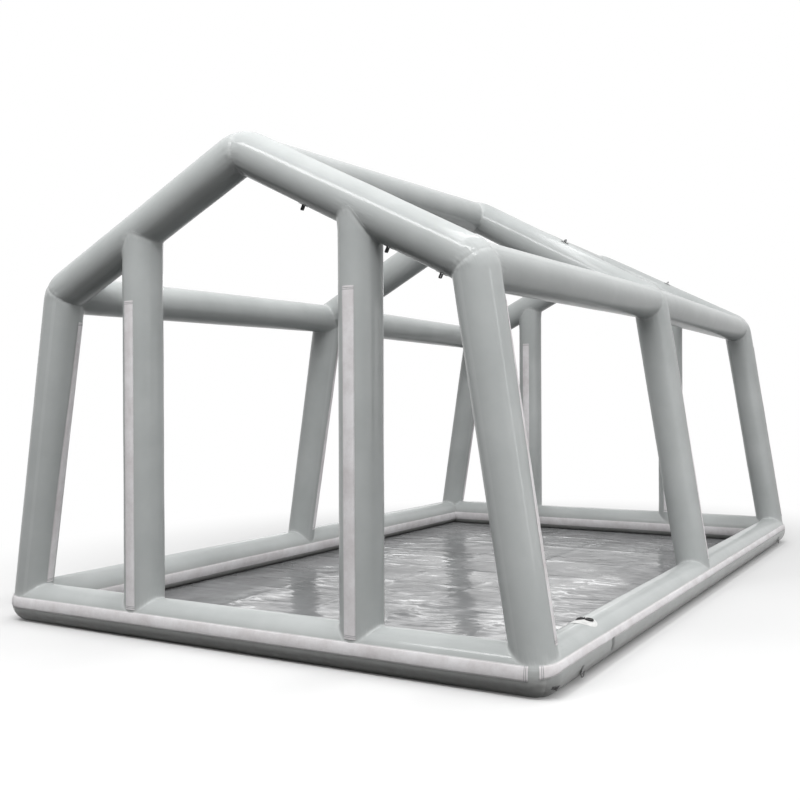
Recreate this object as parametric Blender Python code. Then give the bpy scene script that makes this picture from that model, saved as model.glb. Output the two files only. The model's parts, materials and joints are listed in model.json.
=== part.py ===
"""Frame of an inflatable gable tent: air tubes, floor sheet, hook strips, air valve, lashing rings.

Metres, +Z up, the tent stands on z = 0. X runs across the tent and Y along it, front gable at -Y.
"""

import math

import bmesh
import bpy
from mathutils import Matrix, Vector

# Air tubes: one diameter throughout, a little slimmer where a tube butts against another
TUBE_RADIUS = 0.135
BUTT_RADIUS = 0.130
FOOT_RADIUS = 0.127
GAP = 0.0003
MITRE_SETBACK = 0.00015
CUT_OVERRUN = 0.02
WELD = 0.00002
SIDES = 24
BEND_STEPS = 4
STRIP_BEND_STEPS = 8

# Base ring, pressed flat on the ground
BASE_HALF_WIDTH = 1.914
BASE_HALF_LENGTH = 3.235
BASE_AXIS_HEIGHT = 0.125
BASE_BEND_RADIUS = 0.015
CORNER_HALF_ANGLE = math.radians(45)
CORNER_INSET = BASE_BEND_RADIUS * (1 - math.cos(CORNER_HALF_ANGLE))

# Arches
ARCH_Y = BASE_HALF_LENGTH - CORNER_INSET
CORNER_FOOT_X = BASE_HALF_WIDTH - CORNER_INSET
EAVE_X = 1.564
EAVE_HEIGHT = 2.276
MIDDLE_EAVE_HEIGHT = 2.312
RIDGE_HEIGHT = 3.065
MIDDLE_RIDGE_HEIGHT = 3.156
EAVE_BEND_RADIUS = 0.125
RIDGE_BEND_RADIUS = 0.170
EAVE_INSET = 0.013
RIDGE_INSET = 0.020

# Door posts
POST_X = 0.84
POST_Y = (BASE_HALF_LENGTH + ARCH_Y) / 2

# Wider tube ends at the seams
FLARE_LENGTH = 0.16
FLARE_STEPS = 3
FOOT_FLARE = 0.018
POST_TOP_FLARE = 0.030
EAVE_FLARE = 0.034

# Floor sheet
FLOOR_THICKNESS = 0.003
FLOOR_MARGIN = 0.051

# Hook strips
STRIP_THICKNESS = 0.0025
BASE_STRIP_TOPS = {"end": math.radians(64), "side": math.radians(48)}
BASE_STRIP_SPANS = {"end": math.radians(35), "side": math.radians(31)}
BASE_STRIP_LIFT = 0.0032
INNER_STRIP_TOP = math.radians(84)
INNER_STRIP_SPAN = math.radians(40)
LEG_STRIP_LEAN = math.radians(12)
LEG_STRIP_SPAN = math.radians(31)
LEG_STRIP_BOTTOM = 0.270
LEG_STRIP_DROP = 0.201
MIDDLE_LEG_STRIP_DROP = 0.237
POST_STRIP_LEAN = math.radians(4)
POST_STRIP_SPAN = math.radians(36)
POST_STRIP_DROP = 0.096
POST_STRIP_TOP = EAVE_HEIGHT - POST_STRIP_DROP
FRONT_STRIP_BOTTOM = 0.192
REAR_STRIP_BOTTOM = 0.268

# Air valve: heights are counted from the top of the tube along the valve's axis
VALVE_INSET = 0.715
VALVE_Y = VALVE_INSET - BASE_HALF_LENGTH
VALVE_LEAN = math.radians(11.5)
VALVE_SEGMENTS = 32
PATCH_RADIUS = 0.088
PATCH_THICKNESS = 0.0012
PATCH_SHIFT = 0.03
PATCH_SPAN = math.radians(90)
BARREL_RADIUS = 0.0195
BARREL_BORE = 0.0160
BARREL_RIM_HEIGHT = 0.0085
BARREL_DEPTH = 0.030
RIM_ROUNDING = 0.0008
SEAT_BORE = 0.0125
SEAT_THICKNESS = 0.003
FLANGE_RADIUS = 0.0245
FLANGE_HEIGHT = 0.0045
FLANGE_DEPTH = 0.008
FLANGE_ROUNDING = 0.0010
WEB_DEPTH = 0.022
WEB_THICKNESS = 0.004
WEB_RIB_WIDTH = 0.003
HUB_RADIUS = 0.0045
STEM_RADIUS = 0.0020
POPPET_RADIUS = 0.0145
POPPET_THICKNESS = 0.003
BUTTON_RADIUS = 0.0055
BUTTON_HEIGHT = 0.003
BUTTON_THICKNESS = 0.004
BUTTON_ROUNDING = 0.0010
PLUNGER_TRAVEL = 0.005
POCKET_CLEARANCE = 0.0010
SPRING_RADIUS = 0.0037
SPRING_WIRE_RADIUS = 0.0005
SPRING_TURNS = 5
SPRING_STEPS = 12

# Valve cap: drawn closed, then swung open on its hinge
CAP_RADIUS = 0.026
CAP_THICKNESS = 0.003
CAP_ROUNDING = 0.0009
CAP_HEIGHT = 0.0102
CAP_OPENING = math.radians(200)
SKIRT_RADIUS = 0.0232
SKIRT_BORE = 0.0212
SKIRT_DEPTH = 0.0034
SEAL_RADIUS = 0.0178
SEAL_WIDTH = 0.0022
SEAL_THICKNESS = 0.0012
HINGE_OFFSET = 0.0295
HINGE_HEIGHT = 0.007
KNUCKLE_RADIUS = 0.0022
KNUCKLE_WIDTH = 0.008
PIN_RADIUS = 0.0010
PIN_GAP = 0.0003
ARM_LENGTH = 0.008
EAR_THICKNESS = 0.0028
EAR_RADIUS = 0.0018
EAR_REACH = 0.0055
COLLAR_RADIUS = 0.0272
COLLAR_HEIGHT = 0.0034
COLLAR_DEPTH = 0.009

# Lashing rings
ANCHOR_INSET = 0.330
ANCHOR_Y = BASE_HALF_LENGTH - ANCHOR_INSET
ANCHOR_ANGLE = math.radians(115)
RING_WIRE_RADIUS = 0.0025
RING_WIDTH = 0.050
RING_DROP = 0.034
RING_CORNER = 0.008
RING_STEPS = 8
SLEEVE_RADIUS = 0.0046
SLEEVE_LENGTH = 0.030
TAB_SPAN = math.radians(26)
TAB_THICKNESS = 0.0015
TAB_STAND_OFF = 0.0050

PVC_GREY = (0.47, 0.49, 0.49)
FINISHES = {
    "tube": (PVC_GREY, 0.32, 0.0),
    "floor": ((0.36, 0.37, 0.37), 0.38, 0.0),
    "strip": ((0.72, 0.70, 0.71), 0.75, 0.0),
    "patch": ((0.85, 0.85, 0.84), 0.40, 0.0),
    "valve": ((0.02, 0.02, 0.022), 0.45, 0.0),
    "spring": ((0.62, 0.62, 0.60), 0.30, 1.0),
    "seal": ((0.05, 0.05, 0.05), 0.70, 0.0),
    "webbing": ((0.30, 0.31, 0.31), 0.85, 0.0),
    "ring": ((0.58, 0.58, 0.56), 0.28, 1.0),
}


def collection(name, hidden=False):
    found = bpy.data.collections.new(name)
    bpy.context.scene.collection.children.link(found)
    found.hide_render = hidden
    return found


def material(name, kind):
    colour, roughness, metallic = FINISHES[kind]
    made = bpy.data.materials.new(name + "_finish")
    made.use_nodes = True
    shader = made.node_tree.nodes["Principled BSDF"]
    shader.inputs["Base Color"].default_value = (*colour, 1.0)
    shader.inputs["Roughness"].default_value = roughness
    shader.inputs["Metallic"].default_value = metallic
    return made


def object_from(work, name, origin=Vector()):
    """Object in scene space from a bmesh, with its origin at `origin`."""
    bmesh.ops.translate(work, verts=work.verts[:], vec=-origin)
    mesh = bpy.data.meshes.new(name)
    work.to_mesh(mesh)
    work.free()
    mesh.shade_smooth()
    mesh.set_sharp_from_angle(angle=SHARP_ANGLE)
    made = bpy.data.objects.new(name, mesh)
    made.location = origin
    return made


def part(made, kind):
    parts.objects.link(made)
    made.data.materials.clear()
    made.data.materials.append(material(made.name, kind))
    return made


def cutter(made):
    cutters.objects.link(made)
    made.hide_render = True
    made.display_type = "WIRE"
    return made


def boolean(made, other, operation="DIFFERENCE"):
    step = made.modifiers.new(other.name, "BOOLEAN")
    step.operation = operation
    step.solver = "EXACT"
    step.object = other


# Rings of points and the skins between them


def circle(radius):
    turns = [math.tau * step / SIDES for step in range(SIDES)]
    return [(radius * math.cos(turn), radius * math.sin(turn)) for turn in turns]


def facet_radius(angle, radius):
    """Distance from the axis to the faceted wall of a tube, at an angle counted from a facet's edge."""
    facet = math.tau / SIDES
    return radius * math.cos(facet / 2) / math.cos(angle % facet - facet / 2)


def section(centre, side, over, radius, wider=(0, 0, 0, 0)):
    """Ring of points; `wider` adds to the reach along side, against side, along over, against over."""
    ring = []
    for along, across in circle(radius):
        side_share = 1 + (wider[0] if along > 0 else wider[1]) * abs(along) / radius**2
        over_share = 1 + (wider[2] if across > 0 else wider[3]) * abs(across) / radius**2
        ring.append(centre + side * along * side_share + over * across * over_share)
    return ring


def flare(end, heading, side, over, radii, wider):
    """Rings from a straight tube into its widened end, which comes last."""
    rings = []
    for step in range(FLARE_STEPS + 1):
        share = step / FLARE_STEPS
        centre = end - heading * FLARE_LENGTH * (1 - share)
        radius = radii[0] + (radii[1] - radii[0]) * share
        rings.append(section(centre, side, over, radius, [reach * share**2 for reach in wider]))
    return rings


def half_bend(corner, heading, side, over, half_angle, bend_radius, radius, setback=MITRE_SETBACK, floor=None):
    """Rings from the straight tube to the mitre plane at a corner; `side` is the outer side."""
    pivot = corner - heading * bend_radius * math.tan(half_angle) - side * bend_radius
    mitre = side * math.cos(half_angle) + heading * math.sin(half_angle)
    onward = heading * math.cos(half_angle) - side * math.sin(half_angle)
    rings = []
    for step in range(BEND_STEPS + 1):
        share = step / BEND_STEPS
        fan = side * math.cos(half_angle * share) + heading * math.sin(half_angle * share)
        ring = []
        for along, across in circle(radius):
            reach = bend_radius + along
            if floor is not None:
                across = max(across, floor)
            if reach >= 0:
                place = pivot + fan * reach - onward * setback * share
            else:
                place = pivot + mitre * reach / math.cos(half_angle) - onward * setback
            ring.append(place + over * across)
        rings.append(ring)
    return rings


def skin(name, rings, closed=False, origin=Vector()):
    """Closed body through rings of points, capped at both ends or joined end to start."""
    work = bmesh.new()
    rows = [[work.verts.new(place) for place in ring] for ring in rings]
    pairs = list(zip(rows, rows[1:] + rows[:1])) if closed else list(zip(rows, rows[1:]))
    for first, second in pairs:
        for index in range(len(first)):
            after = (index + 1) % len(first)
            work.faces.new((first[index], first[after], second[after], second[index]))
    if not closed:
        work.faces.new(rows[0][::-1])
        work.faces.new(rows[-1])
    bmesh.ops.remove_doubles(work, verts=work.verts[:], dist=WELD)
    bmesh.ops.dissolve_degenerate(work, dist=WELD, edges=work.edges[:])
    bmesh.ops.delete(work, geom=[edge for edge in work.edges if edge.is_wire], context="EDGES")
    bmesh.ops.recalc_face_normals(work, faces=work.faces[:])
    return object_from(work, name, origin)


# Base ring


def base_corners():
    x, y, z = BASE_HALF_WIDTH, BASE_HALF_LENGTH, BASE_AXIS_HEIGHT
    return [Vector((-x, -y, z)), Vector((x, -y, z)), Vector((x, y, z)), Vector((-x, y, z))]


def base_ring_cutter():
    corners = base_corners()
    rings = []
    for index, corner in enumerate(corners):
        before = (corner - corners[index - 1]).normalized()
        after = (corners[(index + 1) % len(corners)] - corner).normalized()
        half_angle = before.angle(after) / 2
        shape = (half_angle, BASE_BEND_RADIUS, TUBE_RADIUS + GAP, 0)
        rings += half_bend(corner, before, before.cross(UP), UP, *shape)
        rings += half_bend(corner, -after, after.cross(UP), UP, *shape)[::-1]
    return cutter(skin("base_ring_cutter", rings, closed=True))


def base_tubes():
    corners = base_corners()
    made = {}
    for index, name in enumerate(("front", "right", "rear", "left")):
        start, end = corners[index], corners[(index + 1) % len(corners)]
        heading = (end - start).normalized()
        side = heading.cross(UP)
        shape = (CORNER_HALF_ANGLE, BASE_BEND_RADIUS, TUBE_RADIUS, MITRE_SETBACK, -BASE_AXIS_HEIGHT)
        rings = half_bend(start, -heading, side, UP, *shape)[::-1]
        rings += half_bend(end, heading, side, UP, *shape)
        tube = skin("base_tube_" + name, rings, origin=(start + end) / 2)
        made[name] = part(tube, "tube")
    return made


# Arches: two legs and two rafters each


def arch_points(place):
    """Right foot, right eave, apex, left eave and left foot of an arch on its centre line."""
    y = {"front": -ARCH_Y, "middle": 0, "rear": ARCH_Y}[place]
    foot_x = BASE_HALF_WIDTH if place == "middle" else CORNER_FOOT_X
    eave_height = MIDDLE_EAVE_HEIGHT if place == "middle" else EAVE_HEIGHT
    ridge_height = MIDDLE_RIDGE_HEIGHT if place == "middle" else RIDGE_HEIGHT
    return [
        Vector((foot_x, y, BASE_AXIS_HEIGHT)),
        Vector((EAVE_X, y, eave_height)),
        Vector((0, y, ridge_height)),
        Vector((-EAVE_X, y, eave_height)),
        Vector((-foot_x, y, BASE_AXIS_HEIGHT)),
    ]


def heading_between(first, second):
    return (second - first).normalized()


def arch_bend(points, index):
    """Half angle, bend radius and inward direction of the arch's corner `index`."""
    before = heading_between(points[index - 1], points[index])
    after = heading_between(points[index], points[index + 1])
    half_angle = before.angle(after) / 2
    bend_radius = RIDGE_BEND_RADIUS if index == 2 else EAVE_BEND_RADIUS
    return half_angle, bend_radius, (after - before).normalized()


def arch_cutter(place):
    points = arch_points(place)
    rings = []
    for index in (1, 2, 3):
        before = heading_between(points[index - 1], points[index])
        after = heading_between(points[index], points[index + 1])
        half_angle, bend_radius, inward = arch_bend(points, index)
        shape = (half_angle, bend_radius, TUBE_RADIUS + GAP, 0)
        if index == 1:
            rings.append(section(points[0], outward(before), ALONG, TUBE_RADIUS + GAP))
        rings += half_bend(points[index], before, outward(before), ALONG, *shape)
        rings += half_bend(points[index], -after, outward(after), ALONG, *shape)[::-1]
    rings.append(section(points[4], outward(after), ALONG, TUBE_RADIUS + GAP))
    return cutter(skin("arch_cutter_" + place, rings))


def outward(heading):
    """Normal of an arch's centre line in its own plane; headings run from the right foot to the left."""
    return ALONG.cross(heading).normalized()


def foot_reaches(place):
    """Widening of a leg's foot against its outer side, and towards and away from +Y."""
    return {
        "front": (0, FOOT_FLARE, FOOT_FLARE, 0),
        "middle": (0, 0, FOOT_FLARE, FOOT_FLARE),
        "rear": (0, FOOT_FLARE, 0, FOOT_FLARE),
    }[place]


def leg_axis(place, hand):
    points = arch_points(place)
    foot, eave = (points[0], points[1]) if hand == "right" else (points[4], points[3])
    heading = heading_between(foot, eave)
    side = outward(heading) if hand == "right" else -outward(heading)
    return foot, eave, heading, side


def leg_radius(distance, length):
    return FOOT_RADIUS + (TUBE_RADIUS - FOOT_RADIUS) * distance / length


def legs(base_cut, strip_cut):
    for place in PLACES:
        half_angle, bend_radius, inward = arch_bend(arch_points(place), 1)
        for hand in HANDS:
            foot, eave, heading, side = leg_axis(place, hand)
            length = (eave - foot).length
            radii = (leg_radius(FLARE_LENGTH, length), FOOT_RADIUS)
            rings = flare(foot, -heading, side, ALONG, radii, foot_reaches(place))[::-1]
            rings += half_bend(eave, heading, side, ALONG, half_angle, bend_radius, TUBE_RADIUS)
            leg = part(skin(f"leg_{place}_{hand}", rings, origin=foot), "tube")
            boolean(leg, strip_cut)
            boolean(leg, base_cut)


def rafters():
    for place in PLACES:
        points = arch_points(place)
        eave_angle, eave_radius, inward = arch_bend(points, 1)
        ridge_angle, ridge_radius, inward = arch_bend(points, 2)
        for hand in HANDS:
            eave = points[1] if hand == "right" else points[3]
            heading = heading_between(eave, points[2])
            side = outward(heading) if hand == "right" else -outward(heading)
            rings = half_bend(eave, -heading, side, ALONG, eave_angle, eave_radius, TUBE_RADIUS)[::-1]
            rings += half_bend(points[2], heading, side, ALONG, ridge_angle, ridge_radius, TUBE_RADIUS)
            part(skin(f"rafter_{place}_{hand}", rings, origin=eave), "tube")


# Tubes that run along the tent


def long_tube(name, start, end, arch_cuts, side, flare_reach):
    heading = (end - start).normalized()
    over = side.cross(heading).normalized()
    radii = (BUTT_RADIUS, BUTT_RADIUS)
    wider = (0, 0, 0, flare_reach)
    rings = flare(start, -heading, side, over, radii, wider)[::-1]
    rings += flare(end, heading, side, over, radii, wider)
    tube = part(skin(name, rings, origin=start), "tube")
    for cut in arch_cuts:
        boolean(tube, cut)


def long_tubes(arch_cuts):
    for first, second in (("front", "middle"), ("middle", "rear")):
        cuts = (arch_cuts[first], arch_cuts[second])
        for hand, index in (("right", 1), ("left", 3)):
            ends = []
            for place in (first, second):
                points = arch_points(place)
                ends.append(points[index] + arch_bend(points, index)[2] * EAVE_INSET)
            long_tube(f"eave_{first}_{hand}" if first == "front" else f"eave_rear_{hand}",
                      *ends, cuts, ACROSS, EAVE_FLARE)
        ends = [arch_points(place)[2] - UP * RIDGE_INSET for place in (first, second)]
        long_tube("ridge_front" if first == "front" else "ridge_rear", *ends, cuts, ACROSS, 0)


# Door posts


def post_top(hand):
    points = arch_points("front")
    eave = points[1] if hand == "right" else points[3]
    share = 1 - POST_X / EAVE_X
    return eave.lerp(points[2], share).z


def door_posts(arch_cuts, base_cut, strip_cut):
    for place, y in (("front", -POST_Y), ("rear", POST_Y)):
        for hand, x in (("right", POST_X), ("left", -POST_X)):
            bottom = Vector((x, y, BASE_AXIS_HEIGHT))
            top = Vector((x, y, post_top(hand)))
            radii = (BUTT_RADIUS, BUTT_RADIUS)
            rings = [section(bottom, ACROSS, ALONG, BUTT_RADIUS)]
            rings += flare(top, UP, ACROSS, ALONG, radii, (POST_TOP_FLARE, POST_TOP_FLARE, 0, 0))
            post = part(skin(f"door_post_{place}_{hand}", rings, origin=bottom), "tube")
            boolean(post, arch_cuts[place])
            boolean(post, base_cut)
            boolean(post, strip_cut)


# Floor sheet


def floor_sheet():
    work = bmesh.new()
    bmesh.ops.create_cube(work, size=1)
    size = Vector((BASE_HALF_WIDTH - FLOOR_MARGIN, BASE_HALF_LENGTH - FLOOR_MARGIN, FLOOR_THICKNESS / 2)) * 2
    bmesh.ops.scale(work, vec=size, verts=work.verts[:])
    bmesh.ops.translate(work, vec=UP * FLOOR_THICKNESS / 2, verts=work.verts[:])
    part(object_from(work, "floor_sheet"), "floor")


# Hook strips


def band(angles, place, radius, thickness):
    """Closed outline of a strip across a tube: inner face, then outer face backwards."""
    inner = [place(angle, facet_radius(angle, radius)) for angle in angles]
    outer = [place(angle, facet_radius(angle, radius + thickness)) for angle in angles]
    return inner + outer[::-1]


def facet_angles(start, span):
    """Angles of a strip's two edges and of every facet edge between them."""
    facet = math.tau / SIDES
    angles = [start]
    index = math.floor(start / facet) + 1
    while index * facet < start + span:
        angles.append(index * facet)
        index += 1
    return angles + [start + span]


def outer_loop(radius, thickness, grow):
    """Rings of the strip round the outside of the base ring; angles are counted from straight up."""
    corners = base_corners()
    kinds = ("end", "side", "end", "side")
    spans = {kind: facet_angles(BASE_STRIP_TOPS[kind] - grow, BASE_STRIP_SPANS[kind] + grow + grow) for kind in kinds}
    rings = []
    for index, corner in enumerate(corners):
        before = heading_between(corners[index - 1], corner)
        after = heading_between(corner, corners[(index + 1) % len(corners)])
        pivot = corner - (before + before.cross(UP)) * BASE_BEND_RADIUS
        for step in range(STRIP_BEND_STEPS + 1):
            share = step / STRIP_BEND_STEPS
            fan = before.cross(UP) * math.cos(share * math.pi / 2) + before * math.sin(share * math.pi / 2)
            first, second = spans[kinds[index - 1]], spans[kinds[index]]
            angles = [one + (two - one) * share for one, two in zip(first, second)]
            lift = BASE_STRIP_LIFT * math.sin(share * math.pi)

            def place(angle, reach):
                return pivot + fan * (BASE_BEND_RADIUS + reach * math.sin(angle)) + UP * reach * math.cos(angle)

            rings.append(band(angles, place, radius + lift, thickness))
    return rings


def inner_loop(radius, thickness):
    corners = base_corners()
    angles = facet_angles(INNER_STRIP_TOP, INNER_STRIP_SPAN)
    rings = []
    for corner in corners:
        inward = Vector((-math.copysign(1, corner.x), -math.copysign(1, corner.y), 0))

        def place(angle, reach):
            return corner + inward * reach * math.sin(angle) + UP * reach * math.cos(angle)

        rings.append(band(angles, place, radius, thickness))
    return rings


def base_strips():
    radius = TUBE_RADIUS + GAP / math.cos(math.pi / SIDES)
    part(skin("base_strip_outer", outer_loop(radius, STRIP_THICKNESS, 0), closed=True), "strip")
    part(skin("base_strip_inner", inner_loop(radius, STRIP_THICKNESS), closed=True), "strip")


def base_strip_cutter():
    grow = GAP * 2 / TUBE_RADIUS
    rings = outer_loop(TUBE_RADIUS - CUT_OVERRUN, CUT_OVERRUN * 2, grow)
    return cutter(skin("base_strip_cutter", rings, closed=True))


def straight_strip(name, stations, side, over, start, span):
    """Strip along a straight tube; stations are (centre, tube radius)."""
    rings = []
    for centre, tube_radius in stations:

        def place(angle, reach):
            return centre + side * reach * math.cos(angle) + over * reach * math.sin(angle)

        radius = tube_radius + GAP / math.cos(math.pi / SIDES)
        rings.append(band(facet_angles(start, span), place, radius, STRIP_THICKNESS))
    part(skin(name, rings, origin=stations[0][0]), "strip")


def leg_strips():
    for place in PLACES:
        top = EAVE_HEIGHT - LEG_STRIP_DROP
        if place == "middle":
            top = MIDDLE_EAVE_HEIGHT - MIDDLE_LEG_STRIP_DROP
        for hand in HANDS:
            foot, eave, heading, side = leg_axis(place, hand)
            length = (eave - foot).length
            for face, middle in (("outer", LEG_STRIP_LEAN), ("inner", math.pi - LEG_STRIP_LEAN)):
                stations = []
                for height in (LEG_STRIP_BOTTOM, top):
                    rise = height - foot.z - side.z * math.cos(middle) * TUBE_RADIUS
                    distance = rise / heading.z
                    stations.append((foot + heading * distance, leg_radius(distance, length)))
                start = middle - LEG_STRIP_SPAN / 2
                straight_strip(f"leg_strip_{face}_{place}_{hand}", stations, side, ALONG, start, LEG_STRIP_SPAN)


def post_strips():
    for place, y, bottom in (("front", -POST_Y, FRONT_STRIP_BOTTOM), ("rear", POST_Y, REAR_STRIP_BOTTOM)):
        for hand, x in (("right", POST_X), ("left", -POST_X)):
            stations = [(Vector((x, y, height)), BUTT_RADIUS) for height in (bottom, POST_STRIP_TOP)]
            start = math.pi * 1.5 + POST_STRIP_LEAN - POST_STRIP_SPAN / 2
            straight_strip(f"post_strip_{place}_{hand}", stations, ACROSS, ALONG, start, POST_STRIP_SPAN)


# Air valve, drawn upright with heights from the tube's top, then leaned to its place


def cylinder(name, radius, bottom, top, segments=VALVE_SEGMENTS, bore=0):
    """Upright cylinder about the Z axis, hollow when a bore is given."""
    profile = [(bore, bottom), (radius, bottom), (radius, top), (bore, top)]
    return turned(name, profile, segments)


def turned(name, profile, segments=VALVE_SEGMENTS):
    """Body turned about the Z axis from a closed outline of (radius, height)."""
    rings = []
    for step in range(segments):
        turn = math.tau * step / segments
        rings.append([Vector((radius * math.cos(turn), radius * math.sin(turn), height)) for radius, height in profile])
    return skin(name, rings, closed=True)


def valve_matrix():
    axis_foot = Vector((BASE_HALF_WIDTH, VALVE_Y, BASE_AXIS_HEIGHT))
    return Matrix.Translation(axis_foot) @ Matrix.Rotation(-VALVE_LEAN, 4, "Y") @ Matrix.Translation(UP * TUBE_RADIUS)


def tube_band(name, inner, outer, lean, centre_y, half_length, span):
    """Curved block that follows the tube's faceted wall; `lean` turns it into a leaned drawing."""
    angles = facet_angles(-span / 2, span)
    rings = []
    for y in (centre_y - half_length, centre_y + half_length):

        def place(angle, reach):
            turned_angle = angle + lean
            return Vector((reach * math.sin(turned_angle), y, reach * math.cos(turned_angle)))

        rings.append(band(angles, place, inner, outer - inner))
    made = skin(name, rings)
    made.data.transform(Matrix.Translation(-UP * TUBE_RADIUS))
    return made


def valve_patch():
    inner = TUBE_RADIUS + GAP / math.cos(math.pi / SIDES)
    patch = tube_band("valve_patch", inner, inner + PATCH_THICKNESS, 0, -PATCH_SHIFT, PATCH_RADIUS * 2, PATCH_SPAN)
    patch.matrix_world = Matrix.Translation((BASE_HALF_WIDTH, VALVE_Y, BASE_AXIS_HEIGHT + TUBE_RADIUS))
    outline = cutter(cylinder("patch_outline", PATCH_RADIUS, -PATCH_RADIUS, PATCH_RADIUS))
    outline.location = patch.location - ALONG * PATCH_SHIFT
    hole = cutter(cylinder("patch_hole", BARREL_RADIUS + GAP, -BARREL_DEPTH, BARREL_DEPTH))
    hole.matrix_world = valve_matrix()
    boolean(part(patch, "patch"), outline, "INTERSECT")
    boolean(patch, hole)


def patch_top():
    return TUBE_RADIUS + (GAP * 2) / math.cos(math.pi / SIDES) + PATCH_THICKNESS


def web_rib(name, angle):
    work = bmesh.new()
    bmesh.ops.create_cube(work, size=1)
    length = (BARREL_BORE + BARREL_RADIUS) / 2 - HUB_RADIUS / 2
    bmesh.ops.scale(work, vec=(length, WEB_RIB_WIDTH, WEB_THICKNESS), verts=work.verts[:])
    middle = Vector((HUB_RADIUS / 2 + length / 2, 0, -WEB_DEPTH + WEB_THICKNESS / 2))
    bmesh.ops.translate(work, vec=middle, verts=work.verts[:])
    bmesh.ops.rotate(work, matrix=Matrix.Rotation(angle, 3, "Z"), verts=work.verts[:])
    return cutter(object_from(work, name))


def valve_body():
    """Barrel with its seat, flange on the patch, and the web that guides the plunger."""
    barrel = turned("valve_body", [
        (SEAT_BORE, -BARREL_DEPTH),
        (BARREL_RADIUS, -BARREL_DEPTH),
        (BARREL_RADIUS, BARREL_RIM_HEIGHT - RIM_ROUNDING),
        (BARREL_RADIUS - RIM_ROUNDING, BARREL_RIM_HEIGHT),
        (BARREL_BORE + RIM_ROUNDING, BARREL_RIM_HEIGHT),
        (BARREL_BORE, BARREL_RIM_HEIGHT - RIM_ROUNDING),
        (BARREL_BORE, -BARREL_DEPTH + SEAT_THICKNESS),
        (SEAT_BORE, -BARREL_DEPTH + SEAT_THICKNESS),
    ])
    bore = (BARREL_BORE + BARREL_RADIUS) / 2
    flange = cutter(turned("valve_flange", [
        (bore, -FLANGE_DEPTH),
        (FLANGE_RADIUS, -FLANGE_DEPTH),
        (FLANGE_RADIUS, FLANGE_HEIGHT - FLANGE_ROUNDING),
        (FLANGE_RADIUS - FLANGE_ROUNDING, FLANGE_HEIGHT),
        (bore, FLANGE_HEIGHT),
    ]))
    wall = cutter(tube_band("flange_seat", TUBE_RADIUS - CUT_OVERRUN, patch_top(), VALVE_LEAN, 0,
                            CUT_OVERRUN * 2, PATCH_SPAN))
    boolean(flange, wall)
    hub = cutter(cylinder("valve_hub", HUB_RADIUS, -WEB_DEPTH, -WEB_DEPTH + WEB_THICKNESS, bore=STEM_RADIUS + GAP))
    part(barrel, "valve")
    boolean(barrel, flange, "UNION")
    boolean(barrel, hub, "UNION")
    for index in range(3):
        boolean(barrel, web_rib(f"web_rib_{index}", math.tau * index / 3), "UNION")
    stem_hole = cutter(cylinder("stem_hole", STEM_RADIUS + GAP, -WEB_DEPTH - CUT_OVERRUN, CUT_OVERRUN))
    boolean(barrel, stem_hole)
    for made in (barrel, flange, wall, hub, stem_hole):
        made.matrix_world = valve_matrix()
    for index in range(3):
        cutters.objects[f"web_rib_{index}"].matrix_world = valve_matrix()


def valve_plunger():
    poppet_top = -BARREL_DEPTH - GAP
    button_bottom = BUTTON_HEIGHT - BUTTON_THICKNESS
    plunger = turned("valve_plunger", [
        (0, poppet_top - POPPET_THICKNESS),
        (POPPET_RADIUS, poppet_top - POPPET_THICKNESS),
        (POPPET_RADIUS, poppet_top),
        (STEM_RADIUS, poppet_top),
        (STEM_RADIUS, button_bottom),
        (BUTTON_RADIUS, button_bottom),
        (BUTTON_RADIUS, BUTTON_HEIGHT - BUTTON_ROUNDING),
        (BUTTON_RADIUS - BUTTON_ROUNDING, BUTTON_HEIGHT),
        (0, BUTTON_HEIGHT),
    ])
    plunger.matrix_world = valve_matrix()
    part(plunger, "valve")


def valve_spring():
    bottom = -WEB_DEPTH + WEB_THICKNESS + GAP + SPRING_WIRE_RADIUS
    top = BUTTON_HEIGHT - BUTTON_THICKNESS - GAP - SPRING_WIRE_RADIUS
    curve = bpy.data.curves.new("valve_spring", "CURVE")
    curve.dimensions = "3D"
    curve.bevel_depth = SPRING_WIRE_RADIUS
    curve.bevel_resolution = 1
    curve.use_fill_caps = True
    line = curve.splines.new("POLY")
    count = SPRING_TURNS * SPRING_STEPS
    line.points.add(count)
    for step, point in enumerate(line.points):
        share = step / count
        turn = math.tau * SPRING_TURNS * share
        height = bottom + (top - bottom) * share
        point.co = (SPRING_RADIUS * math.cos(turn), SPRING_RADIUS * math.sin(turn), height, 1)
    spring = bpy.data.objects.new("valve_spring", curve)
    spring.matrix_world = valve_matrix()
    part(spring, "spring")


def valve_pocket(base_tube):
    depth = BARREL_DEPTH + POPPET_THICKNESS + PLUNGER_TRAVEL + POCKET_CLEARANCE * 2
    pocket = cutter(cylinder("valve_pocket", BARREL_RADIUS + POCKET_CLEARANCE, -depth, CUT_OVERRUN))
    pocket.matrix_world = valve_matrix()
    boolean(base_tube, pocket)


def plate(name, outline, thickness):
    """Flat outline of (x, z), centred on the XZ plane."""
    work = bmesh.new()
    face = work.faces.new([work.verts.new((x, -thickness / 2, z)) for x, z in outline])
    raised = bmesh.ops.extrude_face_region(work, geom=[face])
    moved = [item for item in raised["geom"] if isinstance(item, bmesh.types.BMVert)]
    bmesh.ops.translate(work, vec=ALONG * thickness, verts=moved)
    bmesh.ops.recalc_face_normals(work, faces=work.faces[:])
    return object_from(work, name)


def pin(name, radius, length, segments=16):
    made = cylinder(name, radius, -length / 2, length / 2, segments)
    made.data.transform(Matrix.Rotation(math.pi / 2, 4, "X"))
    return made


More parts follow.
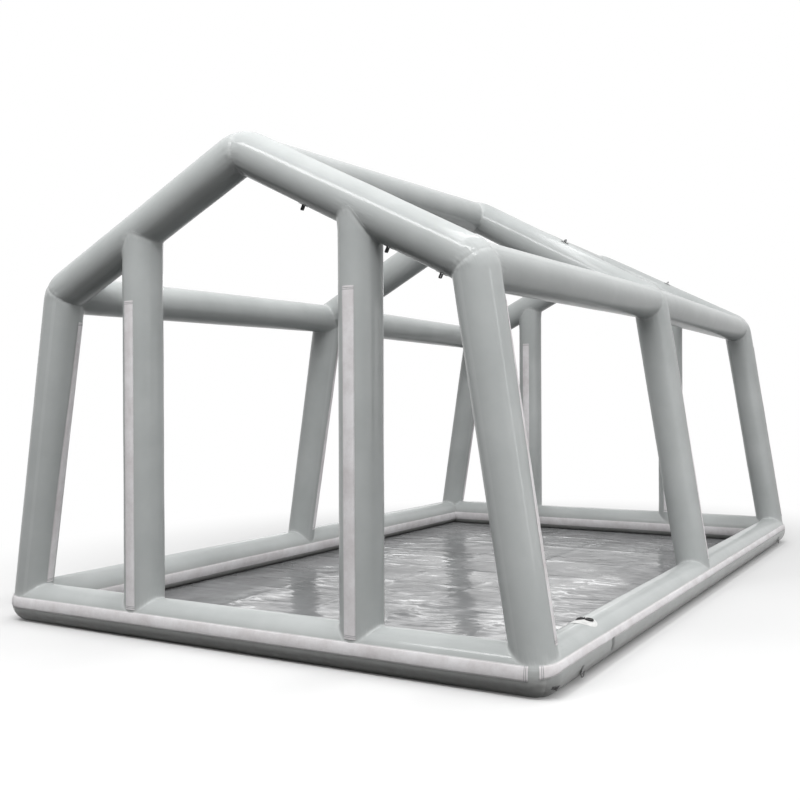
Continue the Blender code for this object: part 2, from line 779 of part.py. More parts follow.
def ear_outline():
    """Slanted lug from the collar up and out to the hinge axis."""
    root = HINGE_OFFSET - COLLAR_RADIUS
    low = -HINGE_HEIGHT
    return [
        (-root - EAR_REACH, low),
        (-root, low),
        (EAR_RADIUS, -EAR_RADIUS / 2),
        (EAR_RADIUS, EAR_RADIUS / 2),
        (0, EAR_RADIUS),
        (-EAR_RADIUS, EAR_RADIUS / 2),
    ]


def valve_collar():
    """Ring round the flange with two ears that hold the hinge pin."""
    hinge = Matrix.Translation((HINGE_OFFSET, 0, HINGE_HEIGHT))
    ring = cylinder("valve_collar", COLLAR_RADIUS, -COLLAR_DEPTH, COLLAR_HEIGHT)
    wall = cutter(tube_band("collar_seat", TUBE_RADIUS - CUT_OVERRUN, patch_top(), VALVE_LEAN, 0,
                            CUT_OVERRUN * 2, PATCH_SPAN))
    inside = cutter(cylinder("collar_bore", FLANGE_RADIUS + GAP, -CUT_OVERRUN, CUT_OVERRUN))
    part(ring, "valve")
    added = []
    ear_y = KNUCKLE_WIDTH / 2 + PIN_GAP + EAR_THICKNESS / 2
    for index, y in enumerate((-ear_y, ear_y)):
        ear = plate(f"collar_ear_{index}", ear_outline(), EAR_THICKNESS)
        ear.data.transform(hinge @ Matrix.Translation(ALONG * y))
        added.append(cutter(ear))
    hinge_pin = pin("hinge_pin", PIN_RADIUS, KNUCKLE_WIDTH + PIN_GAP * 2 + EAR_THICKNESS)
    hinge_pin.data.transform(hinge)
    added.append(cutter(hinge_pin))
    for made in added:
        boolean(ring, made, "UNION")
    boolean(ring, inside)
    boolean(ring, wall)
    for made in [ring, wall, inside] + added:
        made.matrix_world = valve_matrix()


def cap_matrix():
    hinge = Matrix.Translation((HINGE_OFFSET, 0, HINGE_HEIGHT))
    return valve_matrix() @ hinge @ Matrix.Rotation(CAP_OPENING, 4, "Y")


def valve_cap():
    """Round lid with a skirt, an arm and a hinge knuckle; its origin is on the hinge axis."""
    to_hinge = Matrix.Translation((-HINGE_OFFSET, 0, -HINGE_HEIGHT))
    top = CAP_HEIGHT + CAP_THICKNESS
    lid = turned("valve_cap", [
        (0, CAP_HEIGHT),
        (SKIRT_BORE, CAP_HEIGHT),
        (SKIRT_BORE, CAP_HEIGHT - SKIRT_DEPTH),
        (SKIRT_RADIUS, CAP_HEIGHT - SKIRT_DEPTH),
        (SKIRT_RADIUS, CAP_HEIGHT),
        (CAP_RADIUS, CAP_HEIGHT),
        (CAP_RADIUS, top - CAP_ROUNDING),
        (CAP_RADIUS - CAP_ROUNDING, top),
        (0, top),
    ])
    lid.data.transform(to_hinge)
    arm_top = top - HINGE_HEIGHT - CAP_ROUNDING / 2
    arm = cutter(plate("cap_arm", [
        (-ARM_LENGTH, arm_top),
        (-ARM_LENGTH, CAP_HEIGHT - HINGE_HEIGHT + CAP_ROUNDING),
        (-KNUCKLE_RADIUS * 2, CAP_HEIGHT - HINGE_HEIGHT - CAP_ROUNDING),
        (-KNUCKLE_RADIUS, 0),
        (0, -KNUCKLE_RADIUS),
        (KNUCKLE_RADIUS, 0),
        (KNUCKLE_RADIUS, KNUCKLE_RADIUS),
        (-KNUCKLE_RADIUS / 2, arm_top),
    ], KNUCKLE_WIDTH))
    hole = cutter(pin("knuckle_bore", PIN_RADIUS + PIN_GAP, KNUCKLE_WIDTH * 2))
    part(lid, "valve")
    boolean(lid, arm, "UNION")
    boolean(lid, hole)
    seal_bottom = CAP_HEIGHT - SEAL_THICKNESS - GAP
    seal = cylinder("cap_seal", SEAL_RADIUS + SEAL_WIDTH / 2, seal_bottom, CAP_HEIGHT - GAP,
                    bore=SEAL_RADIUS - SEAL_WIDTH / 2)
    seal.data.transform(to_hinge)
    part(seal, "seal")
    for made in (lid, arm, hole, seal):
        made.matrix_world = cap_matrix()


def valve(base_tube):
    valve_pocket(base_tube)
    valve_patch()
    valve_body()
    valve_plunger()
    valve_spring()
    valve_collar()
    valve_cap()


# Lashing rings low on the outside of the side tubes


def anchor_axis(hand, y):
    """Centre of the ring's bar."""
    reach = TUBE_RADIUS + TAB_STAND_OFF
    x = BASE_HALF_WIDTH + reach * math.sin(ANCHOR_ANGLE)
    z = BASE_AXIS_HEIGHT + reach * math.cos(ANCHOR_ANGLE)
    return Vector((math.copysign(x, hand), y, z))


def lashing_tab(name, hand, y):
    """Welded patch with a sewn sleeve for the ring's bar."""
    radius = TUBE_RADIUS + GAP / math.cos(math.pi / SIDES)
    rings = []
    for end in (-SLEEVE_LENGTH / 2, SLEEVE_LENGTH / 2):

        def place(angle, reach):
            x = math.copysign(BASE_HALF_WIDTH + reach * math.sin(angle), hand)
            return Vector((x, y + end, BASE_AXIS_HEIGHT + reach * math.cos(angle)))

        rings.append(band(facet_angles(ANCHOR_ANGLE - TAB_SPAN / 2, TAB_SPAN), place, radius, TAB_THICKNESS))
    centre = anchor_axis(hand, y)
    tab = part(skin(name, rings, origin=centre), "webbing")
    sleeve = cutter(pin(name + "_sleeve", SLEEVE_RADIUS, SLEEVE_LENGTH - GAP * 2))
    bore = cutter(pin(name + "_bore", RING_WIRE_RADIUS + GAP, SLEEVE_LENGTH * 2))
    sleeve.location = centre
    bore.location = centre
    boolean(tab, sleeve, "UNION")
    boolean(tab, bore)


def corner_arc(centre, start, end):
    steps = range(RING_STEPS // 2 + 1)
    turns = [start + (end - start) * step / (RING_STEPS // 2) for step in steps]
    return [centre + Vector((0, math.cos(turn), math.sin(turn))) * RING_CORNER for turn in turns]


def lashing_ring(name, hand, y):
    """D-shaped wire ring that hangs from its bar; the origin is on the bar's axis."""
    half_width = RING_WIDTH / 2
    corner_y = half_width - RING_CORNER
    bow_centre = Vector((0, 0, -RING_DROP + half_width))
    line = corner_arc(Vector((0, corner_y, -RING_CORNER)), math.pi / 2, 0)
    for step in range(RING_STEPS + 1):
        turn = -math.pi * step / RING_STEPS
        line.append(bow_centre + Vector((0, math.cos(turn), math.sin(turn))) * half_width)
    line += corner_arc(Vector((0, -corner_y, -RING_CORNER)), math.pi, math.pi / 2)
    curve = bpy.data.curves.new(name, "CURVE")
    curve.dimensions = "3D"
    curve.bevel_depth = RING_WIRE_RADIUS
    curve.bevel_resolution = 1
    wire = curve.splines.new("POLY")
    wire.points.add(len(line) - 1)
    wire.use_cyclic_u = True
    for point, place in zip(wire.points, line):
        point.co = (*place, 1)
    ring = bpy.data.objects.new(name, curve)
    ring.location = anchor_axis(hand, y)
    part(ring, "ring")


def anchors():
    for place, y in (("front", -ANCHOR_Y), ("rear", ANCHOR_Y)):
        for word, hand in (("right", 1), ("left", -1)):
            lashing_tab(f"lashing_tab_{place}_{word}", hand, y)
            lashing_ring(f"lashing_ring_{place}_{word}", hand, y)


UP = Vector((0, 0, 1))
ALONG = Vector((0, 1, 0))
ACROSS = Vector((1, 0, 0))
PLACES = ("front", "middle", "rear")
HANDS = ("right", "left")
SHARP_ANGLE = math.radians(35)

for old in list(bpy.data.objects):
    bpy.data.objects.remove(old, do_unlink=True)

parts = collection("inflatable_tent")
cutters = collection("cutters", hidden=True)

base_cut = base_ring_cutter()
strip_cut = base_strip_cutter()
arch_cuts = {place: arch_cutter(place) for place in PLACES}
base = base_tubes()
legs(base_cut, strip_cut)
rafters()
long_tubes(arch_cuts)
door_posts(arch_cuts, base_cut, strip_cut)
floor_sheet()
base_strips()
leg_strips()
post_strips()
valve(base["right"])
anchors()
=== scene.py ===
"""Frame of an inflatable gable tent, dressed for its picture.

Metres, +Z up, the tent stands on z = 0. X runs across the tent and Y along it, front gable at -Y.
"""

import json
import math

import bmesh
import bpy
import numpy as np
from mathutils import Matrix, Vector, noise
from mathutils.bvhtree import BVHTree
from mathutils.kdtree import KDTree

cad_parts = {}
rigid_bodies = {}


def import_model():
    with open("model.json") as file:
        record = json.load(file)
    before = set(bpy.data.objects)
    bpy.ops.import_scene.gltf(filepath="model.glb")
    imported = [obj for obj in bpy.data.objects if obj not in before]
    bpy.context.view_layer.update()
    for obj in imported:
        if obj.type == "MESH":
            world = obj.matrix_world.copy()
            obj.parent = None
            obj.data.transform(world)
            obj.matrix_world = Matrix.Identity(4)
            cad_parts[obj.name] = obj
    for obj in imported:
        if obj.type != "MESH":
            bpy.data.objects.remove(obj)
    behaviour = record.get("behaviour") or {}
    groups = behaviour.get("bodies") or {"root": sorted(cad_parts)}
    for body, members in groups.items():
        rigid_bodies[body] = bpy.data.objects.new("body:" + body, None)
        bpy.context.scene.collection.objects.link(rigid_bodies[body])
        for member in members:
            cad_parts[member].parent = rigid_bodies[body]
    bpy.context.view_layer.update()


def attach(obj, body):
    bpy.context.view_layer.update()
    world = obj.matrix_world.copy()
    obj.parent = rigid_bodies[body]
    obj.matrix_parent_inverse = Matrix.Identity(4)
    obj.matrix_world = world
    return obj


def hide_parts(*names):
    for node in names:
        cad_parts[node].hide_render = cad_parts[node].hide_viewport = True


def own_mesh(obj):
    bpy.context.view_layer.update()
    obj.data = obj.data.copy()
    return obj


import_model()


# Camera
# Stands at eye height off the front right corner, almost level, and looks along the tent to the
# left.

UP = Vector((0, 0, 1))
eye = (3.9774, -8.207, 1.5507)
yaw, pitch, roll = 0.5252, -0.0032, -0.0045
ahead = Vector((-math.sin(yaw) * math.cos(pitch), math.cos(yaw) * math.cos(pitch), math.sin(pitch)))
across_view = ahead.cross(UP).normalized()
upright = across_view.cross(ahead)
right_of_frame = across_view * math.cos(roll) + upright * math.sin(roll)
top_of_frame = upright * math.cos(roll) - across_view * math.sin(roll)
camera_turn = Matrix((right_of_frame, top_of_frame, -ahead)).transposed().to_4x4()


def new_object(name, data):
    made = bpy.data.objects.new(name, data)
    bpy.context.scene.collection.objects.link(made)
    return made


camera = new_object("camera", bpy.data.cameras.new("camera"))
camera.matrix_world = Matrix.Translation(eye) @ camera_turn
camera.data.lens = 46.257
camera.data.shift_x, camera.data.shift_y = 0.0004, 0.0008
bpy.context.scene.camera = camera


# Studio
# A plain pale floor that runs on into a pale sky, and large soft lamps round the tent. The floor
# shows the tent's own shadow and nothing else.

ALONG = Vector((0, 1, 0))
WHITE = (1, 1, 1, 1)


def select_only(*pieces):
    """Leave edit mode and select these pieces alone; the first is the active one."""
    if bpy.context.object and bpy.context.object.mode != "OBJECT":
        bpy.ops.object.mode_set(mode="OBJECT")
    for shown in bpy.context.view_layer.objects:
        shown.select_set(shown in pieces)
    if pieces:
        bpy.context.view_layer.objects.active = pieces[0]


def feed(tree, node, values):
    """Give a node's inputs numbers, colours or the results of other nodes."""
    for name, value in values.items():
        if isinstance(value, bpy.types.NodeSocket):
            tree.links.new(value, node.inputs[name])
        else:
            node.inputs[name].default_value = value


def add(tree, kind, values=None, **settings):
    """Results of a new shader node with these inputs and settings."""
    made = tree.nodes.new("ShaderNode" + kind)
    for name, value in settings.items():
        setattr(made, name, value)
    feed(tree, made, values or {})
    return made.outputs


def maths(tree, operation, *values):
    return add(tree, "Math", dict(enumerate(values)), operation=operation)[0]


def mapped(tree, value, low, high, to_low=0, to_high=1, **settings):
    """A value brought from one range to another, and held at the ends of the second."""
    ranges = {"From Min": low, "From Max": high, "To Min": to_low, "To Max": to_high}
    return add(tree, "MapRange", {"Value": value, **ranges}, **settings)[0]


def looked_at(tree):
    """1 for rays from the camera, also through gloss and clear pieces, and 0 for rays that light."""
    rays = add(tree, "LightPath")
    seen = maths(tree, "MAXIMUM", rays["Is Camera Ray"], rays["Is Glossy Ray"])
    return maths(tree, "MAXIMUM", seen, rays["Is Transmission Ray"])


def studio_floor_finish():
    """Pale floor that keeps the tent's shadow and runs out to paper white further off."""
    finish = bpy.data.materials.new("studio_floor")
    finish.use_nodes = True
    tree = finish.node_tree
    tree.nodes.clear()
    place = add(tree, "TexCoord")["Object"]
    oval = add(tree, "VectorMath", {0: place, 1: (1.0, 0.72, 0)}, operation="MULTIPLY")[0]
    away = add(tree, "VectorMath", {0: oval}, operation="LENGTH")["Value"]
    far = mapped(tree, away, 2.6, 5.2, interpolation_type="SMOOTHSTEP")
    pale = add(tree, "BsdfDiffuse", {"Color": (0.68, 0.68, 0.68, 1)})[0]
    dull = add(tree, "BsdfDiffuse", {"Color": (0.03, 0.03, 0.03, 1)})[0]
    paper = add(tree, "Emission", {"Color": WHITE, "Strength": 1.0})[0]
    outside = add(tree, "MixShader", {0: far, 1: pale, 2: paper})[0]
    mixed = add(tree, "MixShader", {0: looked_at(tree), 1: dull, 2: outside})[0]
    add(tree, "OutputMaterial", {"Surface": mixed})
    return finish


def lamp_turn(heading, lamp_name):
    """Turn of a lamp that looks along heading, with its long side along the tent if it hangs above."""
    back = -heading.normalized()
    long_side = ALONG if lamp_name == "overhead_lamp" else UP.cross(back)
    first = (long_side - back * long_side.dot(back)).normalized()
    return Matrix((first, back.cross(first), back)).transposed().to_4x4()


select_only()
bpy.ops.mesh.primitive_plane_add(size=120, location=(0, 0, -0.0005))
studio_floor = bpy.context.object
studio_floor.name = "studio_floor"
bpy.ops.object.transform_apply(location=True, rotation=True, scale=True)
studio_floor.data.materials.append(studio_floor_finish())

world = bpy.data.worlds.new("studio_sky")
world.use_nodes = True
sky = world.node_tree
sky.nodes.clear()
way = add(sky, "SeparateXYZ", {0: add(sky, "TexCoord")["Generated"]})
from_right = mapped(sky, way["X"], -1, 1, 0.42, 1.20)
from_above = mapped(sky, way["Z"], 0, 1, 0.12, 1.62)
level = maths(sky, "MULTIPLY", from_right, from_above)
soft_sky = add(sky, "Background", {"Color": WHITE, "Strength": level})[0]
paper_sky = add(sky, "Background", {"Color": WHITE, "Strength": 1.0})[0]
mixed_sky = add(sky, "MixShader", {0: looked_at(sky), 1: soft_sky, 2: paper_sky})[0]
add(sky, "OutputWorld", {"Surface": mixed_sky})
bpy.context.scene.world = world

for lamp_name, place, aim, size, power in (
    ("overhead_lamp", (1.5, -1.5, 9.0), (0.3, -1.0, 1.2), (10.0, 0.6), 175),
    ("front_lamp", (0.6, -7.5, 8.0), (0.2, -3.0, 1.5), (9.0, 1.2), 520),
    ("side_lamp", (9.0, -2.0, 2.2), (0.0, -1.2, 1.2), (12.0, 2.5), 130),
    ("streak_lamp", (8.5, -3.5, 3.0), (1.0, -2.5, 1.2), (0.5, 4.0), 50),
    ("back_lamp", (-7.5, 13.0, 4.0), (0, 0, 0.6), (9.0, 0.9), 62),
):
    lamp_data = bpy.data.lights.new(lamp_name, "AREA")
    lamp_data.shape = "RECTANGLE"
    lamp_data.size, lamp_data.size_y = size
    lamp_data.energy = power
    lamp = new_object(lamp_name, lamp_data)
    lamp.matrix_world = Matrix.Translation(place) @ lamp_turn(Vector(aim) - Vector(place), lamp_name)

bpy.context.scene.view_settings.view_transform = "Standard"


# Base ring
# Four air tubes of coated PVC fabric on the ground, each rolled from one sheet, mitred and welded
# at the corners. Air pressure holds them round; the tent's weight presses a flat on the underside.

TUBE_RADIUS = 0.135
SIDES = 96
BEND_STEPS = 12
LIP, LIP_STEPS = 0.014, 6

base_half_width = 1.914
base_half_length = 3.235
base_axis_height = 0.125
base_bend_radius = 0.015
half_gap = 0.00015
pinch, pinch_reach = 0.0026, 0.012

turns = [math.tau * index / SIDES for index in range(SIDES)]
welds = []
tubes = {}


def slow_ripple(point):
    """How far the taut skin stands out from a true round at a point."""
    return noise.noise(point * 2.6) * 0.0016


def bend_to_mitre(corner, heading, side, over, half_angle, bend_radius, lowest=-TUBE_RADIUS):
    """Rings from a straight tube round to the mitre at a corner; `side` is the outer side."""
    pivot = corner - heading * bend_radius * math.tan(half_angle) - side * bend_radius
    onward = heading * math.cos(half_angle) - side * math.sin(half_angle)
    rings = []
    for step in range(BEND_STEPS + 1):
        share = step / BEND_STEPS
        fan = side * math.cos(half_angle * share) + heading * math.sin(half_angle * share)
        ring = []
        for turn in turns:
            away = half_angle * (1 - share) * (bend_radius + TUBE_RADIUS * math.cos(turn))
            pinched = TUBE_RADIUS - pinch * math.exp(-((away / pinch_reach) ** 2))
            reach, across = bend_radius + pinched * math.cos(turn), max(lowest, pinched * math.sin(turn))
            if reach >= 0:
                place = pivot + fan * reach
            else:
                inner = share**0.35
                place = pivot + side * reach + heading * reach * math.tan(half_angle) * inner
                place -= heading * 0.03 * (1 - inner)
            ring.append(place - onward * half_gap * share + over * across)
        rings.append(ring)
    return rings


def whole_tube(first, last, spacing):
    """Rings of two ends with even rings between them."""
    start, end = first[-1], last[0]
    count = max(2, round((end[0] - start[0]).length / spacing))
    even = [[a.lerp(b, step / count) for a, b in zip(start, end)] for step in range(1, count)]
    return first + even + last


def skinned(name, rows, closed=False):
    """Piece with quads between closed rows of points; the end rows are capped, or joined if closed."""
    count = len(rows[0])
    last = (len(rows) - 1) * count
    faces = []
    for row in range(len(rows) if closed else len(rows) - 1):
        here, there = row * count, (row + 1) % len(rows) * count
        for index in range(count):
            beside = (index + 1) % count
            faces.append((here + index, here + beside, there + beside, there + index))
    if not closed:
        faces += [tuple(range(count))[::-1], tuple(range(last, last + count))]
    mesh = bpy.data.meshes.new(name)
    mesh.from_pydata([point for row in rows for point in row], [], faces)
    return new_object(name, mesh)


def note(mesh, label, values):
    """Keep a number at every point of a mesh, for its material to read."""
    attribute = mesh.attributes.new(label, "FLOAT", "POINT")
    attribute.data.foreach_set("value", np.array(values, np.float32))


def tube_mesh(name, rings, seam):
    """Closed tube through rings of points, with its cut sheet's layout and its seam, in degrees."""
    made = skinned(name, rings)
    mesh = made.data
    lengths = [0.0]
    for before, after in zip(rings, rings[1:]):
        lengths.append(lengths[-1] + sum((b - a).length for a, b in zip(before, after)) / SIDES)
    layout = mesh.uv_layers.new(name="cut_sheet")
    step = math.tau * TUBE_RADIUS / SIDES
    for polygon in mesh.polygons[:-2]:
        row, index = divmod(polygon.index, SIDES)
        corners = ((index, row), (index + 1, row), (index + 1, row + 1), (index, row + 1))
        for loop, (column, line) in zip(polygon.loop_indices, corners):
            layout.data[loop].uv = (column * step, lengths[line])
    aways = [(turn - math.radians(seam) + math.pi) % math.tau - math.pi for turn in turns]
    note(mesh, "closing_seam", [abs(away) * TUBE_RADIUS for away in aways] * len(rings))
    work = bmesh.new()
    work.from_mesh(mesh)
    bmesh.ops.remove_doubles(work, verts=work.verts[:], dist=0.00002)
    bmesh.ops.recalc_face_normals(work, faces=work.faces[:])
    work.to_mesh(mesh)
    work.free()
    return made


def tree_of(*pieces):
    """Search tree over the faces of some tubes, to find where another piece lands on them."""
    points, faces = [], []
    for piece in pieces:
        start = len(points)
        points += [vertex.co.copy() for vertex in piece.data.vertices]
        faces += [tuple(start + index for index in polygon.vertices) for polygon in piece.data.polygons]
    return BVHTree.FromPolygons(points, faces)


def run_lengths(points):
    """Distance of each point from the first, along the line through them."""
    lengths = [0.0]
    for here, there in zip(points, points[1:]):
        lengths.append(lengths[-1] + (there - here).length)
    return lengths


def meeting_with(target, line):
    """Where a line of points meets the target, the target's normal there, and the line's heading."""
    meeting, normal = line[-1], None
    for here, there in zip(line, line[1:]):
        way = there - here
        hit = target.ray_cast(here, way.normalized(), way.length)
        if hit[0] is not None:
            meeting, normal = hit[:2]
            break
    head = (meeting - here).normalized() if (meeting - here).length > 0.0001 else way.normalized()
    if normal is None:
        meeting, normal = target.find_nearest(meeting)[:2]
    return meeting, -normal if normal.dot(head) > 0 else normal, head


def landed(lines, target, count):
    """Rings down each line of points to where it meets the target, and a welded lip out over it."""
    found = [meeting_with(target, line) for line in lines]
    meetings = [meeting for meeting, normal, head in found]
    welds.extend(meetings)
    middle = sum(meetings, Vector()) / len(meetings)
    rings = [[] for step in range(count + LIP_STEPS + 1)]
    for index, line in enumerate(lines):
        meeting, normal, head = found[index]
        run = (meetings[(index + 1) % len(lines)] - meetings[index - 1]).normalized()
        out = run.cross(normal).normalized()
        if out.dot((meeting - middle).normalized() + head * 0.5) < 0:
            out = -out
        lip_start = meeting - head * LIP
        path = [line[0]]
        for point in line[1:]:
            if (point - line[0]).length >= (meeting - line[0]).length - LIP * 1.2:
                break
            path.append(point)
        path.append(lip_start)
        lengths = run_lengths(path)
        for step in range(count):
            goal = lengths[-1] * (1 - (1 - step / (count - 1)) ** 1.6)
            place = 0
            while place < len(path) - 2 and lengths[place + 1] < goal:
                place += 1
            span = lengths[place + 1] - lengths[place]
            part = 0 if span < 1e-7 else (goal - lengths[place]) / span
            rings[step].append(path[place].lerp(path[place + 1], min(1, part)))
        for step in range(1, LIP_STEPS + 1):
            share = step / LIP_STEPS
            curve = (lip_start * (1 - share) ** 2 + meeting * 2 * share * (1 - share)
                     + (meeting + out * LIP) * share**2)
            if share > 0.6:
                near = target.find_nearest(curve)[0]
                curve = near + normal * (0.0007 + (curve - near).length * (1 - share))
            rings[count + step - 1].append(curve)
        rings[-1].append(target.find_nearest(meeting + out * (LIP + 0.0008))[0] - normal * 0.0012)
    return rings


def new_finish(name):
    """A bare material, its nodes, and the place on the object that its patterns follow."""
    finish = bpy.data.materials.new(name)
    finish.use_nodes = True
    return finish, finish.node_tree, add(finish.node_tree, "TexCoord")["Object"]


def clouds(tree, place, scale, detail=2, roughness=0.5, **settings):
    values = {"Vector": place, "Scale": scale, "Detail": detail, "Roughness": roughness}
    return add(tree, "TexNoise", values, **settings)["Fac"]


def ribs(tree, place, scale, way, distortion=0):
    values = {"Vector": place, "Scale": scale, "Distortion": distortion}
    return add(tree, "TexWave", values, bands_direction=way)["Fac"]


def tones(tree, share, first, dark, last, light):
    """Colour that goes from dark to light while share goes from first to last."""
    made = tree.nodes.new("ShaderNodeValToRGB")
    for stop, position, colour in zip(made.color_ramp.elements, (first, last), (dark, light)):
        stop.position = position
        stop.color = (*colour, 1)
    feed(tree, made, {"Fac": share})
    return made.outputs[0]


def tinted(tree, share, ground, tint):
    return add(tree, "Mix", {0: share, 6: ground, 7: (*tint, 1)}, data_type="RGBA")[2]


def bumps(tree, height, strength, distance):
    return add(tree, "Bump", {"Height": height, "Strength": strength, "Distance": distance})[0]


def relief(tree, layers, strength=1.0):
    """Fine relief of the surface, from layers of a value and its height in metres."""
    heights = [maths(tree, "MULTIPLY", value, height) for value, height in layers]
    total = heights[0]
    for height in heights[1:]:
        total = maths(tree, "ADD", total, height)
    return bumps(tree, total, strength, 1.0)


def painted(finish, values):
    """The material with these numbers, colours or results on its shader's own sockets."""
    feed(finish.node_tree, finish.node_tree.nodes["Principled BSDF"], values)
    return finish


def pvc_finish():
    """Grey coated fabric: gloss film over a fine scrim, mottled, dust and painted shade low down, painted
    highlight and puckers at the welds.
    """
    finish, tree, place = new_finish("tube_pvc")
    layout = add(tree, "UVMap", uv_map="cut_sheet")["UV"]
    near_weld = add(tree, "Attribute", attribute_name="near_weld")["Fac"]
    from_seam = add(tree, "Attribute", attribute_name="closing_seam")["Fac"]
    height = add(tree, "SeparateXYZ", {0: place})["Z"]

    mottle = clouds(tree, place, 2.3, 5, 0.6)
    grey = tones(tree, mottle, 0.3, (0.390, 0.408, 0.405), 0.7, (0.450, 0.468, 0.465))
    # Painted highlight: the skin is painted lighter close to the welds, where the seams catch the light.
    weld_highlight = maths(tree, "MULTIPLY", mapped(tree, near_weld, 0.62, 0.95), 0.45)
    tape = mapped(tree, from_seam, 0.0125, 0.0115)
    # Darker and browner towards the ground: partly real dust, partly painted shade under the tubes.
    dust = maths(tree, "MULTIPLY", mapped(tree, height, 0.20, 0), clouds(tree, place, 14, 6, 0.65))
    colour = tinted(tree, weld_highlight, grey, (0.515, 0.53, 0.527))
    colour = tinted(tree, maths(tree, "MULTIPLY", tape, 0.35), colour, (0.485, 0.503, 0.50))
    colour = tinted(tree, dust, colour, (0.255, 0.235, 0.22))

    drawn = add(tree, "Mapping", {"Vector": layout, "Scale": (38, 9, 1)})[0]
    puckers = maths(tree, "MULTIPLY", clouds(tree, drawn, 1, 3), near_weld)
    ripple = clouds(tree, place, 5.5, 2, 0.4)
    scrim = maths(tree, "ADD", ribs(tree, layout, 210, "X"), ribs(tree, layout, 210, "Y"))
    return painted(finish, {
        "Base Color": colour,
        "Roughness": mapped(tree, clouds(tree, place, 6, 7, 0.7), 0.3, 0.7, 0.30, 0.42),
        "Normal": relief(tree, ((puckers, 0.0045), (ripple, 0.0030), (tape, 0.0005), (scrim, 0.00001))),
        "Specular IOR Level": 0.05, "Coat Weight": 0.42, "Coat Roughness": 0.13,
    })


tube_pvc = pvc_finish()

base_corners = [Vector((sign_x * base_half_width, sign_y * base_half_length, base_axis_height))
                for sign_x, sign_y in ((-1, -1), (1, -1), (1, 1), (-1, 1))]
for index, name in enumerate(("front", "right", "rear", "left")):
    start, end = base_corners[index], base_corners[(index + 1) % 4]
    heading = (end - start).normalized()
    side = heading.cross(UP)
    shape = (math.radians(45), base_bend_radius, -base_axis_height)
    first = bend_to_mitre(start, -heading, side, UP, *shape)[::-1]
    last = bend_to_mitre(end, heading, side, UP, *shape)
    tubes[f"base_tube_{name}"] = tube_mesh(f"air_base_{name}", whole_tube(first, last, 0.09), seam=215)
    welds.extend(first[0] + last[-1])


# Arches
# Three arches stand on the ring, each of two leaning legs and two rafters. The tubes are cut on
# the mitre, welded edge to edge, and swell to a round elbow outside the weld.

arch_inset = 0.0044
arch_y = base_half_length - arch_inset
eave_x = 1.564
eave_bend_radius = 0.125
ridge_bend_radius = 0.170
foot_radius = 0.127
foot_flare = 0.018
flare_length = 0.16


def arch_points(place):
    """Right foot, right eave, apex, left eave and left foot on the centre line."""
    y = {"front": -arch_y, "middle": 0, "rear": arch_y}[place]
    foot_x = base_half_width if place == "middle" else base_half_width - arch_inset
    eave_height, ridge_height = (2.312, 3.156) if place == "middle" else (2.276, 3.065)
    right = [(foot_x, base_axis_height), (eave_x, eave_height), (0, ridge_height)]
    return [Vector((x, y, z)) for x, z in right + [(-x, z) for x, z in right[1::-1]]]


def legs_of(place):
    """Hand, foot and eave of an arch's two legs."""
    points = arch_points(place)
    return ("right", points[0], points[1]), ("left", points[4], points[3])


def heading_between(first, second):
    return (second - first).normalized()


def outward(heading, hand):
    """Way out of the tent, square to a leg or rafter that runs along heading."""
    out = ALONG.cross(heading).normalized()
    return out if hand == "right" else -out


def half_angle_at(points, index):
    before = heading_between(points[index - 1], points[index])
    return before.angle(heading_between(points[index], points[index + 1])) / 2


def flared_end(end, inward, side, over, distances, reaches, target, count, radius, taper=0):
    """Rings from inside a tube out to the target; `reaches` is its flare to side, back, over, under."""
    rows = []
    for distance in distances:
        round_radius = radius + taper * max(0, distance)
        flare = max(0, 1 - max(0, distance) / flare_length) ** 2
        row = []
        for turn in turns:
            along, across = round_radius * math.cos(turn), round_radius * math.sin(turn)
            side_reach = (reaches[0] if along > 0 else reaches[1]) * flare
            over_reach = (reaches[2] if across > 0 else reaches[3]) * flare
            row.append(end + inward * distance
                       + side * along * (1 + side_reach * abs(along) / round_radius**2)
                       + over * across * (1 + over_reach * abs(across) / round_radius**2))
        rows.append(row)
    return landed(list(zip(*rows)), target, count)


base_tree = tree_of(*tubes.values())
foot_reaches = {"front": (0, foot_flare, foot_flare, 0), "middle": (0, 0, foot_flare, foot_flare),
                "rear": (0, foot_flare, 0, foot_flare)}
foot_distances = (0.45, 0.30, 0.22, 0.16, 0.13, 0.10, 0.07, 0.04, 0.01, -0.03)

for place in ("front", "middle", "rear"):
    half_angle = half_angle_at(arch_points(place), 1)
    for hand, foot, eave in legs_of(place):
        heading = heading_between(foot, eave)
        side = outward(heading, hand)
        upper = bend_to_mitre(eave, heading, side, ALONG, half_angle, eave_bend_radius)
        lower = flared_end(foot, heading, side, ALONG, foot_distances, foot_reaches[place], base_tree, 16,
                           foot_radius, (TUBE_RADIUS - foot_radius) / (eave - foot).length)[::-1]
        welds.extend(upper[-1])
        tubes[f"leg_{place}_{hand}"] = tube_mesh(f"air_leg_{place}_{hand}", whole_tube(lower, upper, 0.07),
                                                 seam=250 if place == "front" else 200)

for place in ("front", "middle", "rear"):
    points = arch_points(place)
    for hand, eave in (("right", points[1]), ("left", points[3])):
        heading = heading_between(eave, points[2])
        side = outward(heading, hand)
        lower = bend_to_mitre(eave, -heading, side, ALONG, half_angle_at(points, 1), eave_bend_radius)[::-1]
        upper = bend_to_mitre(points[2], heading, side, ALONG, half_angle_at(points, 2), ridge_bend_radius)
        welds.extend(upper[-1])
        tubes[f"rafter_{place}_{hand}"] = tube_mesh(f"air_rafter_{place}_{hand}",
                                                    whole_tube(lower, upper, 0.07), seam=40)


# Eave and ridge tubes
# Six tubes along the tent between the arches, a little slimmer, with saddle-cut ends that are
# welded on the elbows. Each eave tube spreads to a keel below, where its fabric turns onto the leg.

ACROSS = Vector((1, 0, 0))
butt_radius = 0.130
eave_flare = 0.034
eave_inset = 0.013
ridge_drop = 0.020

